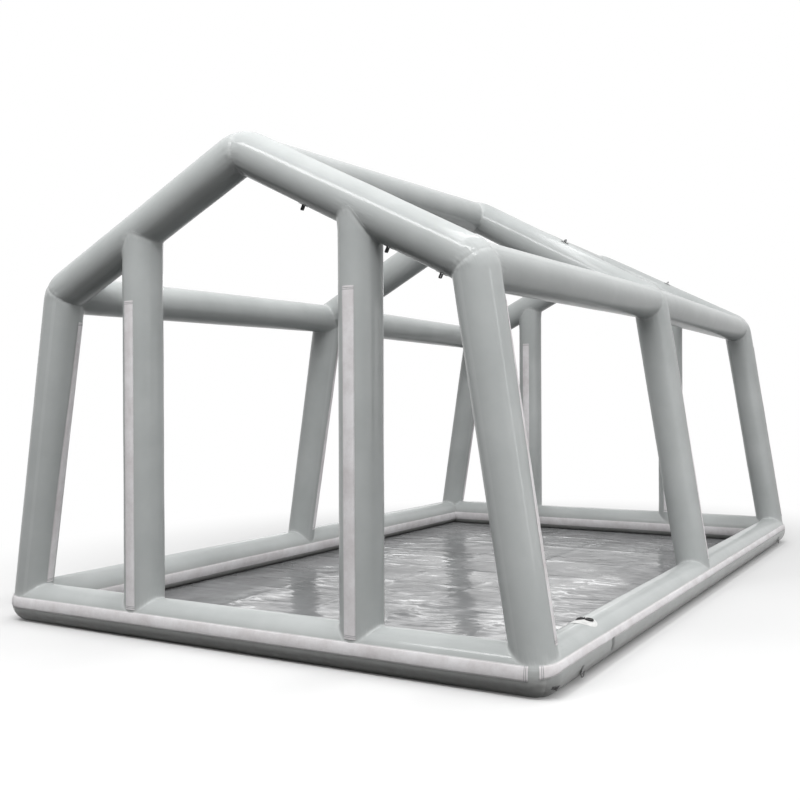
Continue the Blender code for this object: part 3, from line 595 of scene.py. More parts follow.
arch_trees = {}
for place in ("front", "middle", "rear"):
    arch_trees[place] = tree_of(*[tubes[f"{kind}_{place}_{hand}"] for kind in ("leg", "rafter")
                                  for hand in ("right", "left")])


def butted_tube(name, ends, over, inmost, count, seam):
    """Tube between two saddle-cut ends; an end is (its middle, way in, target, reaches)."""
    distances = (*inmost, 0.24, 0.20, 0.16, 0.13, 0.10, 0.07, 0.04, 0.0)
    first, last = (flared_end(end, inward, ACROSS, over, distances, reaches, target, count, butt_radius)
                   for end, inward, target, reaches in ends)
    return tube_mesh(name, whole_tube(first[::-1], last, 0.09), seam)


def lengthwise_tube(name, start, end, targets, keel, seam):
    heading = heading_between(start, end)
    ends = ((start, heading, targets[0], (0, 0, 0, keel)), (end, -heading, targets[1], (0, 0, 0, keel)))
    return butted_tube(name, ends, UP, (0.60, 0.40, 0.30), 18, seam)


for first, second, name in (("front", "middle", "front"), ("middle", "rear", "rear")):
    targets = (arch_trees[first], arch_trees[second])
    for hand, index in (("right", 1), ("left", 3)):
        ends = []
        for place in (first, second):
            points = arch_points(place)
            inward = (heading_between(points[index], points[index + 1])
                      - heading_between(points[index - 1], points[index])).normalized()
            ends.append(points[index] + inward * eave_inset)
        tubes[f"eave_{name}_{hand}"] = lengthwise_tube(f"air_eave_{name}_{hand}", *ends, targets, eave_flare,
                                                       seam=140 if hand == "left" else 40)
    ends = [arch_points(place)[2] - UP * ridge_drop for place in (first, second)]
    tubes[f"ridge_{name}"] = lengthwise_tube(f"air_ridge_{name}", *ends, targets, 0, seam=-38)


# Door posts
# Two upright tubes in each gable, welded between the base tube and the rafters. They open the
# doorway and the panels beside it.

post_x = 0.84
post_y = (base_half_length + arch_y) / 2
post_top_flare = 0.030

for place, y in (("front", -post_y), ("rear", post_y)):
    points = arch_points(place)
    top = points[1].lerp(points[2], 1 - post_x / eave_x).z
    for hand, x in (("right", post_x), ("left", -post_x)):
        ends = ((Vector((x, y, base_axis_height)), UP, base_tree, (0, 0, 0, 0)),
                (Vector((x, y, top)), -UP, arch_trees[place], (post_top_flare, post_top_flare, 0, 0)))
        tubes[f"door_post_{place}_{hand}"] = butted_tube(f"air_post_{place}_{hand}", ends, ALONG,
                                                         (0.50, 0.35), 16, seam=160)


# Skin of the tubes
# Where tubes are welded the fabric draws into small puckers that run away from the seam. Between
# the seams the skin is taut, with a slow ripple.

ground_flat = 0.012


def dress(piece, material, body, slot, *nodes, smooth=35):
    """Smooth shading, material, body and replaced nodes of a modelled piece; its slot is not used."""
    select_only(piece)
    bpy.ops.object.shade_smooth_by_angle(angle=math.radians(smooth))
    piece.data.materials.clear()
    piece.data.materials.append(material)
    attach(piece, body)
    if nodes:
        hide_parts(*nodes)


weld_points = KDTree(len(welds))
for index, point in enumerate(welds):
    weld_points.insert(point, index)
weld_points.balance()

for node_name, tube in tubes.items():
    closeness = []
    normals = [vertex.normal.copy() for vertex in tube.data.vertices]
    for vertex, normal in zip(tube.data.vertices, normals):
        distance = weld_points.find(vertex.co)[2]
        closeness.append(math.exp(-((distance / 0.055) ** 1.4)))
        pucker = noise.noise(vertex.co * 34) * 0.0016 * math.exp(-((distance - 0.03) / 0.035) ** 2)
        if vertex.co.z > ground_flat:
            vertex.co += normal * (pucker + slow_ripple(vertex.co))
    note(tube.data, "near_weld", closeness)
    dress(tube, tube_pvc, "tent_frame", "tube_pvc", node_name, smooth=50)


# Floor sheet
# One piece of thinner coated fabric, cut to the inside of the ring and welded along its edge to
# the underside of the base tubes. It lies on the ground with the folds it was packed in.

floor_half_width = base_half_width - 0.051
floor_half_length = base_half_length - 0.051
floor_thickness = 0.0009
pack_folds_across = (-1.02, -0.36, 0.31, 1.05)
pack_folds_along = (-2.35, -1.50, -0.72, 0.05, 0.86, 1.71, 2.45)


def floor_finish():
    """Glossy grey film: mottled and scuffed, with fine creases that catch the light."""
    finish, tree, place = new_finish("floor_film")
    mottle = clouds(tree, place, 1.7, 6, 0.62)
    grey = tones(tree, mottle, 0.3, (0.155, 0.158, 0.160), 0.7, (0.226, 0.230, 0.234))
    scuffs = mapped(tree, clouds(tree, place, 22, 8, 0.75), 0.58, 0.75, 0, 0.35)
    warp = add(tree, "TexNoise", {"Vector": place, "Scale": 1.3, "Detail": 2})["Color"]
    bent = add(tree, "Mix", {0: 0.25, 4: place, 5: warp}, data_type="VECTOR")[1]
    drawn = add(tree, "Mapping", {"Vector": bent, "Scale": (3.0, 26, 1)})[0]
    creases = clouds(tree, drawn, 1, 3, noise_type="RIDGED_MULTIFRACTAL")
    slack = mapped(tree, clouds(tree, place, 0.9, 1), 0.40, 0.62, 0.001, 0.006)
    crumples = add(tree, "TexVoronoi", {"Vector": bent, "Scale": 7}, feature="SMOOTH_F1")["Distance"]
    return painted(finish, {
        "Base Color": tinted(tree, scuffs, grey, (0.32, 0.32, 0.315)),
        "Roughness": mapped(tree, clouds(tree, place, 3.1, 7, 0.7), 0.3, 0.7, 0.12, 0.26),
        "Coat Weight": mapped(tree, clouds(tree, place, 1.4, 5, 0.65), 0.46, 0.62, 0.10, 0.62),
        "Normal": relief(tree, ((creases, slack), (crumples, 0.011)), 0.8),
        "Specular IOR Level": 0.03, "Coat Roughness": 0.07,
    })


def edit_all(piece):
    """Go into edit mode on a piece, with all of it selected."""
    select_only(piece)
    bpy.ops.object.mode_set(mode="EDIT")
    bpy.ops.mesh.select_all(action="SELECT")


select_only()
bpy.ops.mesh.primitive_grid_add(x_subdivisions=150, y_subdivisions=250, size=2, location=(0, 0, 0))
floor_sheet = bpy.context.object
floor_sheet.name = "laid_floor_sheet"
edit_all(floor_sheet)
bpy.ops.transform.resize(value=(floor_half_width, floor_half_length, 1))
bpy.ops.transform.translate(value=(0, 0, 0.0016))
bpy.ops.object.mode_set(mode="OBJECT")


def fold_height(x, y):
    """Rise of the laid sheet: sharp pack folds, short slack wrinkles between them, nothing at the weld."""
    rise = 0.0
    for fold in pack_folds_across:
        away = x - fold - 0.02 * math.sin(y * 1.1 + fold)
        rise += 0.0065 * math.exp(-abs(away) / 0.035) * (0.7 + 0.3 * noise.noise(Vector((fold, y * 1.5, 0))))
    for fold in pack_folds_along:
        away = y - fold - 0.03 * math.sin(x * 0.9 + fold)
        rise += 0.0075 * math.exp(-abs(away) / 0.03) * (0.7 + 0.3 * noise.noise(Vector((x * 1.5, fold, 3))))
    slack = noise.noise(Vector((x * 1.1, y * 1.1, 7)))
    ridge = 1 - abs(noise.noise(Vector((x * 2.2 + slack, y * 9 + slack * 2, 1)))) * 2
    rise += 0.006 * max(0, ridge) ** 4 * max(0, 0.5 + slack)
    rise += 0.004 * (1 + noise.noise(Vector((x * 2.4, y * 2.4, 11))))
    edge = min(floor_half_width - abs(x), floor_half_length - abs(y))
    return rise * min(1, edge / 0.12)


for vertex in floor_sheet.data.vertices:
    vertex.co.z += fold_height(vertex.co.x, vertex.co.y)
film = floor_sheet.modifiers.new("film", "SOLIDIFY")
film.thickness = floor_thickness
film.offset = 0
bpy.ops.object.modifier_apply(modifier="film")
bpy.ops.object.shade_smooth()
floor_sheet.data.materials.append(floor_finish())
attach(floor_sheet, "tent_frame")
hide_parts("floor_sheet")


# Hook strips
# Woven hook tape that holds the cover: a raised field of hooks between two flat selvages, stitched
# down with one row in each and two across each end. Two lengths run round the base ring.

hook_tape_thickness = 0.0024
selvage = 0.0055
glue = 0.0007
outer_tops = {"end": math.radians(67), "side": math.radians(61)}
outer_spans = {"end": math.radians(34), "side": math.radians(22.5)}
inner_top, inner_span = math.radians(84), math.radians(40)


def hook_tape_finish():
    """Off-white woven nylon: rows of hooks, stitching in the selvages, grey grime where it was handled."""
    finish, tree, place = new_finish("hook_tape")
    layout = add(tree, "UVMap", uv_map="cut_sheet")["UV"]
    from_edge = add(tree, "Attribute", attribute_name="from_edge")["Fac"]
    from_end = add(tree, "Attribute", attribute_name="from_end")["Fac"]

    def stitched(distance, row, outer, inner):
        """Row of stitches that lies `row` from an edge or end."""
        away = maths(tree, "ABSOLUTE", maths(tree, "SUBTRACT", distance, row))
        return mapped(tree, away, outer, inner)

    end_rows = [stitched(from_end, row, 0.0024, 0.0012) for row in (0.012, 0.021)]
    edge_row = stitched(from_edge, 0.0032, 0.0011, 0.0005)
    stitches = maths(tree, "MAXIMUM", maths(tree, "MAXIMUM", *end_rows), edge_row)
    hooks = maths(tree, "MULTIPLY", ribs(tree, layout, 190, "X"), ribs(tree, layout, 190, "Y"))
    lumps = clouds(tree, place, 30, 3)
    grime = clouds(tree, place, 5, 7, 0.7)
    cloth = tones(tree, grime, 0.33, (0.650, 0.620, 0.627), 0.62, (0.810, 0.795, 0.808))
    return painted(finish, {
        "Base Color": tinted(tree, maths(tree, "MULTIPLY", stitches, 0.75), cloth, (0.22, 0.22, 0.23)),
        "Normal": relief(tree, ((hooks, 0.00035), (stitches, -0.0004), (lumps, 0.0008))),
        "Roughness": 0.72, "Specular IOR Level": 0.3, "Sheen Weight": 0.25, "Sheen Roughness": 0.5,
    })


hook_tape = hook_tape_finish()


def tape_heights(width):
    """Places across the tape, as distances from its first edge, and the height of its face there."""
    field = width - selvage * 2
    places = [(0.0, 0.0005), (0.0004, 0.0011), (selvage * 0.9, 0.0012), (selvage * 1.15, 0.0021)]
    places += [(selvage + field * share, hook_tape_thickness) for share in (0.06, 0.28, 0.5, 0.72, 0.94)]
    places += [(width - away, height) for away, height in places[3::-1]]
    return places + [(away, 0.0003) for away, height in places[::-2]]


def finish_piece(piece, *dressing, smooth=35):
    """Dress a piece after its doubles are merged and its faces turned outward."""
    edit_all(piece)
    bpy.ops.mesh.remove_doubles(threshold=0.000005)
    bpy.ops.mesh.normals_make_consistent(inside=False)
    bpy.ops.object.mode_set(mode="OBJECT")
    dress(piece, *dressing, smooth=smooth)


def tape_mesh(name, node, stations, closed=False):
    """Tape bonded along a tube. A station is (centre, side, over, first angle, span, tube radius), with
    angles counted from `side` towards `over`."""
    rows, aways, mid = [], [], []
    for centre, side, over, start, span, radius in stations:
        places = tape_heights(span * radius)
        row = []
        for away, height in places:
            angle = start + away / radius
            out = side * math.cos(angle) + over * math.sin(angle)
            point = centre + out * (radius + height)
            row.append(point + out.normalized() * slow_ripple(point))
        rows.append(row)
        aways.append([away for away, height in places])
        middle = start + span / 2
        mid.append(centre + (side * math.cos(middle) + over * math.sin(middle)) * radius)
    lengths = run_lengths(mid + mid[:1])
    made = skinned(name, rows, closed)
    count = len(rows[0])
    layout = made.data.uv_layers.new(name="cut_sheet")
    for polygon in made.data.polygons:
        last_row = closed and polygon.index // count == len(rows) - 1
        for loop in polygon.loop_indices:
            line, index = divmod(made.data.loops[loop].vertex_index, count)
            layout.data[loop].uv = (aways[line][index], lengths[-1 if last_row and line == 0 else line])
    note(made.data, "from_edge", [min(away, max(row) - away) for row in aways for away in row])
    note(made.data, "from_end", [1.0 if closed else min(length, lengths[-2] - length)
                                 for length in lengths[:-1] for away in aways[0]])
    finish_piece(made, hook_tape, "tent_frame", "hook_strip", node)


def outer_stations(index):
    """Stations of the outer tape round one corner and along the tube that follows it."""
    corner, following = base_corners[index], base_corners[(index + 1) % 4]
    before, after = heading_between(base_corners[index - 1], corner), heading_between(corner, following)
    kind, kind_before = ("end", "side")[index % 2], ("side", "end")[index % 2]
    pivot = corner - (before + before.cross(UP)) * base_bend_radius
    made = []
    for step in range(13):
        share = step / 12
        fan = before.cross(UP) * math.cos(share * math.pi / 2) + before * math.sin(share * math.pi / 2)
        top, span = (sizes[kind_before] * (1 - share) + sizes[kind] * share
                     for sizes in (outer_tops, outer_spans))
        lift = 0.0016 * math.sin(share * math.pi)
        made.append((pivot + fan * base_bend_radius, UP, fan, top, span, TUBE_RADIUS + glue + lift))
    length = (following - corner).length - base_bend_radius * 2
    count = round(length / 0.12)
    for step in range(1, count):
        centre = corner + after * (base_bend_radius + length * step / count)
        top = outer_tops[kind] + noise.noise(centre * 1.9) * 0.006
        made.append((centre, UP, after.cross(UP), top, outer_spans[kind], TUBE_RADIUS + glue))
    return made


corner_right = outer_stations(1)
round_the_rest = outer_stations(2) + outer_stations(3) + outer_stations(0)
tape_mesh("hook_tape_base_outer", "base_strip_outer", corner_right[4:] + round_the_rest + corner_right[:2])

inner_stations = []
for index in range(4):
    corner, following = base_corners[index], base_corners[(index + 1) % 4]
    into_corner = Vector((-math.copysign(1, corner.x), -math.copysign(1, corner.y), 0))
    inner_stations.append((corner, UP, into_corner, inner_top, inner_span, TUBE_RADIUS + glue))
    inward = -heading_between(corner, following).cross(UP)
    count = round((following - corner).length / 0.13)
    for step in range(1, count):
        centre = corner.lerp(following, step / count)
        if min((centre - corner).length, (centre - following).length) >= 0.2:
            waver = noise.noise(centre * 2.1) * 0.008
            inner_stations.append((centre, UP, inward, inner_top + waver, inner_span, TUBE_RADIUS + glue))
tape_mesh("hook_tape_base_inner", "base_strip_inner", inner_stations, closed=True)


# Hook strips on the legs and posts
# The same tape, cut to length: one along the outer and one along the inner side of every leg,
# turned a little to the rear, and one down the front of every door post.

leg_lean, leg_span, top_drift = math.radians(12), math.radians(31), math.radians(13)
leg_tape_bottom, leg_tape_top = 0.270, 2.075
post_lean, post_span = math.radians(-2.5), math.radians(36)
post_tape_bottoms, post_tape_top = {"front": 0.192, "rear": 0.268}, 2.18
thick_glue = 0.0009


def tape_heights_up(bottom, top):
    """Heights of the stations: close together at the sewn ends, further apart between them."""
    near = [0, 0.006, 0.014, 0.022, 0.04]
    middle = [bottom + (top - bottom) * share for share in np.linspace(0.05, 0.95, 17)]
    return [bottom + rise for rise in near] + middle + [top - rise for rise in near[::-1]]


for place in ("front", "middle", "rear"):
    for hand, foot, eave in legs_of(place):
        heading = heading_between(foot, eave)
        side = outward(heading, hand)
        taper = (TUBE_RADIUS - foot_radius) / (eave - foot).length
        for face, middle, sign in (("outer", leg_lean, 1), ("inner", math.pi - leg_lean, -1)):
            stations = []
            for height in tape_heights_up(leg_tape_bottom, leg_tape_top):
                distance = (height - foot.z - side.z * math.cos(middle) * TUBE_RADIUS) / heading.z
                centre = foot + heading * distance
                drift = top_drift * min(1, max(0, (height - 0.9) / 1.1)) * sign
                start = middle - leg_span / 2 + drift + noise.noise(centre * 2.3) * 0.008
                radius = foot_radius + taper * distance + thick_glue
                stations.append((centre, side, ALONG, start, leg_span, radius))
            tape_mesh(f"hook_tape_leg_{face}_{place}_{hand}", f"leg_strip_{face}_{place}_{hand}", stations)

for place, y in (("front", -post_y), ("rear", post_y)):
    for hand, x in (("right", post_x), ("left", -post_x)):
        stations = []
        for height in tape_heights_up(post_tape_bottoms[place], post_tape_top):
            centre = Vector((x, y, height))
            start = math.pi * 1.5 + post_lean - post_span / 2 + noise.noise(centre * 2.3) * 0.008
            stations.append((centre, ACROSS, ALONG, start, post_span, butt_radius + thick_glue))
        tape_mesh(f"hook_tape_post_{place}_{hand}", f"post_strip_{place}_{hand}", stations)


# Valve patch
# A round of white PVC welded on the base tube as the valve's ground. It follows the tube and has a
# hole for the barrel; the tube is open under it.

valve_y, valve_turn = -2.52, -math.radians(11.5)
valve_frame = (Matrix.Translation((base_half_width, valve_y, base_axis_height))
               @ Matrix.Rotation(valve_turn, 4, "Y") @ Matrix.Translation(UP * TUBE_RADIUS))
valve_axis = (valve_frame.to_3x3() @ UP).normalized()
valve_across = (valve_frame.to_3x3() @ ACROSS).normalized()
barrel_radius = 0.0195
opening_half = 0.0166
patch_radius, patch_shift, patch_thickness = 0.088, -0.03, 0.0018
patch_sides, patch_steps = 96, 14

base_right = tubes["base_tube_right"]
select_only(base_right)
bpy.ops.object.mode_set(mode="EDIT")
for facing in (ALONG, valve_across):
    for half in (-opening_half, opening_half):
        bpy.ops.mesh.select_all(action="SELECT")
        bpy.ops.mesh.bisect(plane_co=valve_frame.translation + facing * half, plane_no=facing)
bpy.ops.mesh.select_all(action="DESELECT")
bpy.ops.object.mode_set(mode="OBJECT")
for polygon in base_right.data.polygons:
    offset = polygon.center - valve_frame.translation
    inside = abs(offset.dot(ALONG)) < opening_half and abs(offset.dot(valve_across)) < opening_half
    polygon.select = inside and abs(offset.dot(valve_axis)) < 0.02
bpy.ops.object.mode_set(mode="EDIT")
bpy.ops.mesh.delete(type="FACE")
bpy.ops.object.mode_set(mode="OBJECT")


def patch_finish():
    """White film, glossy, with grey handling marks."""
    finish, tree, place = new_finish("valve_patch_film")
    marks = clouds(tree, place, 26, 7, 0.7)
    dents = clouds(tree, place, 60)
    return painted(finish, {
        "Base Color": tones(tree, marks, 0.34, (0.50, 0.50, 0.49), 0.55, (0.68, 0.68, 0.67)),
        "Roughness": mapped(tree, marks, 0, 1, 0.28, 0.5),
        "Normal": bumps(tree, dents, 0.6, 0.0008),
        "Specular IOR Level": 0.4,
    })


def on_tube(x, y, lift):
    """Point on the right base tube at arc distance x from its top, and y along the tent."""
    angle = x / TUBE_RADIUS
    out = Vector((math.sin(angle), 0, math.cos(angle)))
    point = Vector((base_half_width, y, base_axis_height)) + out * (TUBE_RADIUS + lift)
    return point + out * slow_ripple(point)


def patch_row(share, lift):
    """Ring of the patch between its hole, at share 0, and its rim, at 1."""
    hole, hole_x = barrel_radius + 0.0006, valve_turn * TUBE_RADIUS
    row = []
    for index in range(patch_sides):
        turn = math.tau * index / patch_sides
        here = Vector((hole_x + hole * math.cos(turn), valve_y + hole * math.sin(turn)))
        there = Vector((patch_radius * math.cos(turn), valve_y + patch_shift + patch_radius * math.sin(turn)))
        row.append(on_tube(*here.lerp(there, share), lift))
    return row


patch_shares = [step / patch_steps for step in range(patch_steps + 1)]
under_rows = [patch_row(share, 0.0003) for share in patch_shares[::-1]]
upper_rows = [patch_row(share, patch_thickness - (0.0011 if share == 1 else 0)) for share in patch_shares]
patch = skinned("white_valve_patch", under_rows + upper_rows, closed=True)
finish_piece(patch, patch_finish(), "tent_frame", "patch", "valve_patch")


# Valve body
# Moulded black nylon: a barrel with its seat, a flange that clamps the patch, and inside it a web
# of three ribs that guides the plunger.


def black_plastic_finish():
    """Moulded nylon: near black, fine spark-eroded grain, a little lighter where dusty."""
    finish, tree, place = new_finish("black_nylon")
    dust = clouds(tree, place, 90, 6, 0.7)
    grain = clouds(tree, place, 1800)
    return painted(finish, {
        "Base Color": tones(tree, dust, 0.4, (0.012, 0.012, 0.013), 0.75, (0.045, 0.045, 0.046)),
        "Roughness": mapped(tree, dust, 0, 1, 0.32, 0.6),
        "Normal": bumps(tree, grain, 0.5, 0.0001),
        "Specular IOR Level": 0.4,
    })


black_nylon = black_plastic_finish()


def turned(name, outline, placing, closed=True, steps=72):
    """Piece spun about its own upright axis from an outline of (radius, height), then placed."""
    mesh = bpy.data.meshes.new(name)
    count = len(outline)
    edges = [(index, (index + 1) % count) for index in range(count if closed else count - 1)]
    mesh.from_pydata([(radius, 0, height) for radius, height in outline], edges, [])
    made = new_object(name, mesh)
    edit_all(made)
    bpy.ops.mesh.spin(steps=steps, angle=math.tau, center=(0, 0, 0), axis=(0, 0, 1))
    bpy.ops.mesh.select_all(action="SELECT")
    bpy.ops.mesh.remove_doubles(threshold=0.00001)
    bpy.ops.mesh.normals_make_consistent(inside=False)
    bpy.ops.object.mode_set(mode="OBJECT")
    mesh.transform(placing)
    return made


def softened(piece, width):
    """Moulded edges: every sharp edge gets a small round."""
    select_only(piece)
    edge = piece.modifiers.new("moulded_edge", "BEVEL")
    edge.width = width
    edge.segments = 2
    edge.limit_method = "ANGLE"
    edge.angle_limit = math.radians(38)
    bpy.ops.object.modifier_apply(modifier="moulded_edge")
    return piece


def bar(name, size, middle, placing):
    """Straight moulded bar of a size about a middle point."""
    select_only()
    bpy.ops.mesh.primitive_cube_add(size=1, location=(0, 0, 0))
    made = bpy.context.object
    made.name = name
    edit_all(made)
    bpy.ops.transform.resize(value=size)
    bpy.ops.transform.translate(value=middle)
    bpy.ops.mesh.bevel(offset=min(size) * 0.16, segments=2, affect="EDGES")
    bpy.ops.object.mode_set(mode="OBJECT")
    made.data.transform(placing)
    return made


def joined(name, *pieces):
    select_only(*pieces)
    bpy.ops.object.join()
    pieces[0].name = name
    return pieces[0]


threads = []
for index in range(3):
    height = 0.0053 + index * 0.0009
    threads += [(barrel_radius, height), (barrel_radius + 0.0004, height + 0.0003),
                (barrel_radius, height + 0.0006)]
barrel = softened(turned("valve_barrel", [
    (0.0125, -0.030), (barrel_radius, -0.030), (barrel_radius, -0.008), (0.0245, -0.008), (0.0245, 0.0045),
    (barrel_radius, 0.0045), *threads, (barrel_radius, 0.0085),
    (0.0160, 0.0085), (0.0160, -0.027), (0.0125, -0.027),
], valve_frame), 0.0006)
hub_outline = [(0.0023, -0.022), (0.0045, -0.022), (0.0045, -0.018), (0.0023, -0.018)]
hub = softened(turned("valve_hub", hub_outline, valve_frame, steps=36), 0.0003)
guides = []
for index in range(3):
    turn = valve_frame @ Matrix.Rotation(math.tau * index / 3, 4, "Z")
    guides.append(bar(f"valve_rib_{index}", (0.0135, 0.003, 0.004), (0.0102, 0, -0.020), turn))
body = joined("moulded_valve_body", barrel, hub, *guides)
finish_piece(body, black_nylon, "tent_frame", "valve_plastic", "valve_body")


# Plunger and spring
# The plunger's poppet closes the seat from inside; its button is pressed to let air out, against
# a coil spring of stainless wire that stands on the web.

spring_turns, spring_steps = 5, 32
spring_radius, spring_foot, spring_height = 0.0037, -0.0172, 0.0154

plunger = softened(turned("sprung_plunger", [
    (0, -0.0333), (0.0145, -0.0333), (0.0145, -0.0303), (0.0020, -0.0303), (0.0020, -0.001),
    (0.0055, -0.001), (0.0055, 0.0018), (0.0043, 0.0030), (0.0018, 0.0026), (0, 0.0024),
], valve_frame, closed=False), 0.0004)
finish_piece(plunger, black_nylon, "plunger", "valve_plastic", "valve_plunger")


def wire_finish(name, colour, scale):
    """Drawn wire: bright, with small dull spots."""
    finish, tree, place = new_finish(name)
    spots = clouds(tree, place, scale, 8, 0.75)
    return painted(finish, {
        "Base Color": tones(tree, spots, 0.38, [part * 0.55 for part in colour], 0.55, colour),
        "Roughness": mapped(tree, spots, 0, 1, 0.5, 0.18),
        "Normal": bumps(tree, spots, 0.4, 0.0002),
        "Metallic": 1.0,
    })


def wire(name, points, radius, closed, resolution):
    """Round wire along points, made a mesh."""
    curve = bpy.data.curves.new(name, "CURVE")
    curve.dimensions = "3D"
    curve.bevel_depth = radius
    curve.bevel_resolution = resolution
    curve.use_fill_caps = not closed
    line = curve.splines.new("POLY")
    line.points.add(len(points) - 1)
    line.use_cyclic_u = closed
    for point, place in zip(line.points, points):
        point.co = (*place, 1)
    select_only(new_object(name, curve))
    bpy.ops.object.convert(target="MESH")
    return bpy.context.object


spring_points = []
for step in range(spring_turns * spring_steps + 1):
    share = step / (spring_turns * spring_steps)
    turn = math.tau * spring_turns * share
    spring_points.append(valve_frame @ Vector((spring_radius * math.cos(turn), spring_radius * math.sin(turn),
                                               spring_foot + spring_height * share)))
spring = wire("coil_spring", spring_points, 0.0005, False, 3)
spring_steel = wire_finish("spring_steel", (0.62, 0.62, 0.60), 900)
finish_piece(spring, spring_steel, "tent_frame", "spring_wire", "valve_spring", smooth=60)
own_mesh(spring)


# Collar and cap
# A collar clips round the flange and carries the cap on a pinned hinge. The cap hangs open beside
# the valve, inside out, with its skirt and its rubber seal upwards.

hinge_x, hinge_z = 0.0295, 0.007
hinge = valve_frame @ Matrix.Translation((hinge_x, 0, hinge_z))
lying = Matrix.Rotation(math.pi / 2, 4, "X")

ring_outline = [(0.0248, -0.009), (0.0272, -0.009), (0.0272, 0.0034), (0.0248, 0.0034)]
ring = softened(turned("valve_ring", ring_outline, valve_frame), 0.0005)
ears = []
for ear_y in (-0.0057, 0.0057):
    ears.append(bar("hinge_ear", (0.0066, 0.0028, 0.0060), (-0.0032, ear_y, -0.0035), hinge))
    ears.append(bar("hinge_ear", (0.0036, 0.0028, 0.0042), (0.0, ear_y, -0.0002), hinge))
pin = turned("hinge_pin", [(0, -0.0072), (0.0010, -0.0072), (0.0010, 0.0072), (0, 0.0072)],
             hinge @ lying, closed=False, steps=24)
collar = joined("hinged_valve_collar", ring, *ears, pin)
finish_piece(collar, black_nylon, "tent_frame", "valve_plastic", "valve_collar")

open_cap = hinge @ Matrix.Rotation(math.radians(200), 4, "Y")
lid_place = open_cap @ Matrix.Translation((-hinge_x, 0, -hinge_z))
lid = softened(turned("cap_lid", [
    (0, 0.0102), (0.0212, 0.0102), (0.0212, 0.0068), (0.0232, 0.0068), (0.0232, 0.0102), (0.0260, 0.0102),
    (0.0260, 0.0132), (0.0185, 0.0132), (0.0175, 0.0126), (0, 0.0126),
], lid_place, closed=False, steps=96), 0.0005)
grips = []
for index in range(3, 33):
    turn = lid_place @ Matrix.Rotation(math.tau * (index + 0.5) / 36, 4, "Z")
    grips.append(bar("cap_grip", (0.0011, 0.0016, 0.0026), (0.0259, 0, 0.0117), turn))
arm = bar("cap_arm", (0.0090, 0.008, 0.0022), (-0.0046, 0, 0.0048), open_cap)
neck = bar("cap_neck", (0.0026, 0.008, 0.0058), (0.0, 0, 0.0030), open_cap)
knuckle = turned("cap_knuckle", [(0.0013, -0.004), (0.0022, -0.004), (0.0022, 0.004), (0.0013, 0.004)],
                 open_cap @ lying, steps=36)
cap = joined("open_valve_cap", lid, *grips, arm, neck, knuckle)
finish_piece(cap, black_nylon, "cap", "valve_plastic", "valve_cap")


def rubber_finish():
    """Matt rubber with fine dust."""
    finish, tree, place = new_finish("seal_rubber")
    dust = clouds(tree, place, 400, 5)
    return painted(finish, {
        "Base Color": tones(tree, dust, 0, (0.035, 0.035, 0.036), 1, (0.11, 0.11, 0.108)),
        "Normal": bumps(tree, dust, 0.4, 0.0001),
        "Roughness": 0.7,
    })


seal_outline = [(0.0167, 0.0087), (0.0189, 0.0087), (0.0189, 0.0099), (0.0167, 0.0099)]
seal = softened(turned("rubber_seal", seal_outline, lid_place), 0.0004)
finish_piece(seal, rubber_finish(), "cap", "seal", "cap_seal")


# Lashing points
# A strap of polyester webbing goes round the bar of a D-ring of blackened steel wire, and both its
# ends are welded to the base tube. The ring swings in the strap.

lashing_y = 2.905
bar_angle, bar_reach = math.radians(115), TUBE_RADIUS + 0.0050
strap_half_width, strap_thickness, strap_lift = 0.0142, 0.0014, 0.0016
ring_half, ring_corner, ring_length, ring_wire_radius = 0.025, 0.008, 0.034, 0.0025


def webbing_finish(name, dark, light):
    """Plain woven webbing: ribs across it and fine warp threads along it, frayed and dusty."""
    finish, tree, place = new_finish(name)
    woven = maths(tree, "MULTIPLY", ribs(tree, place, 200, "Z", 0.4), ribs(tree, place, 320, "Y", 0.4))
    return painted(finish, {
        "Base Color": tones(tree, clouds(tree, place, 160, 6, 0.7), 0.35, dark, 0.68, light),
        "Normal": bumps(tree, woven, 0.9, 0.0005),
        "Roughness": 0.85, "Sheen Weight": 0.2,
    })


def ribbon(name, path, across, half_width, thickness):
    """Strip of webbing along a path, with slightly rounded edges; its face turns with the path."""
    outline = [(-1, -0.5), (-0.94, -1), (-0.3, -1), (0.3, -1), (0.94, -1), (1, -0.5)]
    outline += [(aside, -up) for aside, up in outline[::-1]]
    rows = []
    for index, point in enumerate(path):
        normal = across.cross(path[min(len(path) - 1, index + 1)] - path[max(0, index - 1)]).normalized()
        rows.append([point + across * half_width * aside + normal * thickness / 2 * up
                     for aside, up in outline])
    return skinned(name, rows)


grey_webbing = webbing_finish("grey_webbing", (0.20, 0.205, 0.205), (0.34, 0.345, 0.345))
ring_steel = wire_finish("ring_steel", (0.13, 0.13, 0.13), 240)


def strap_path(hand, y):
    """Middle line of the strap: down the tube, round the ring's bar, and on down the tube."""
    axis = Vector((math.copysign(base_half_width, hand), y, base_axis_height))

    def at(angle, reach):
        return axis + Vector((math.copysign(reach * math.sin(angle), hand), 0, reach * math.cos(angle)))

    def laid(*angles):
        return [at(math.radians(angle), TUBE_RADIUS + strap_lift) for angle in angles]

    bar_middle = at(bar_angle, bar_reach)
    out = (at(bar_angle, 1.0) - at(bar_angle, 0.0)).normalized()
    down = (at(bar_angle + 0.01, bar_reach) - bar_middle).normalized()
    fold = []
    for step in range(11):
        turn = math.radians(-62 + 124 * step / 10)
        fold.append(bar_middle + out * 0.0037 * math.cos(turn) + down * 0.0037 * math.sin(turn))
    return laid(102.5, 105, 107.5, 110) + fold + laid(120, 122.5, 125, 127.5), bar_middle


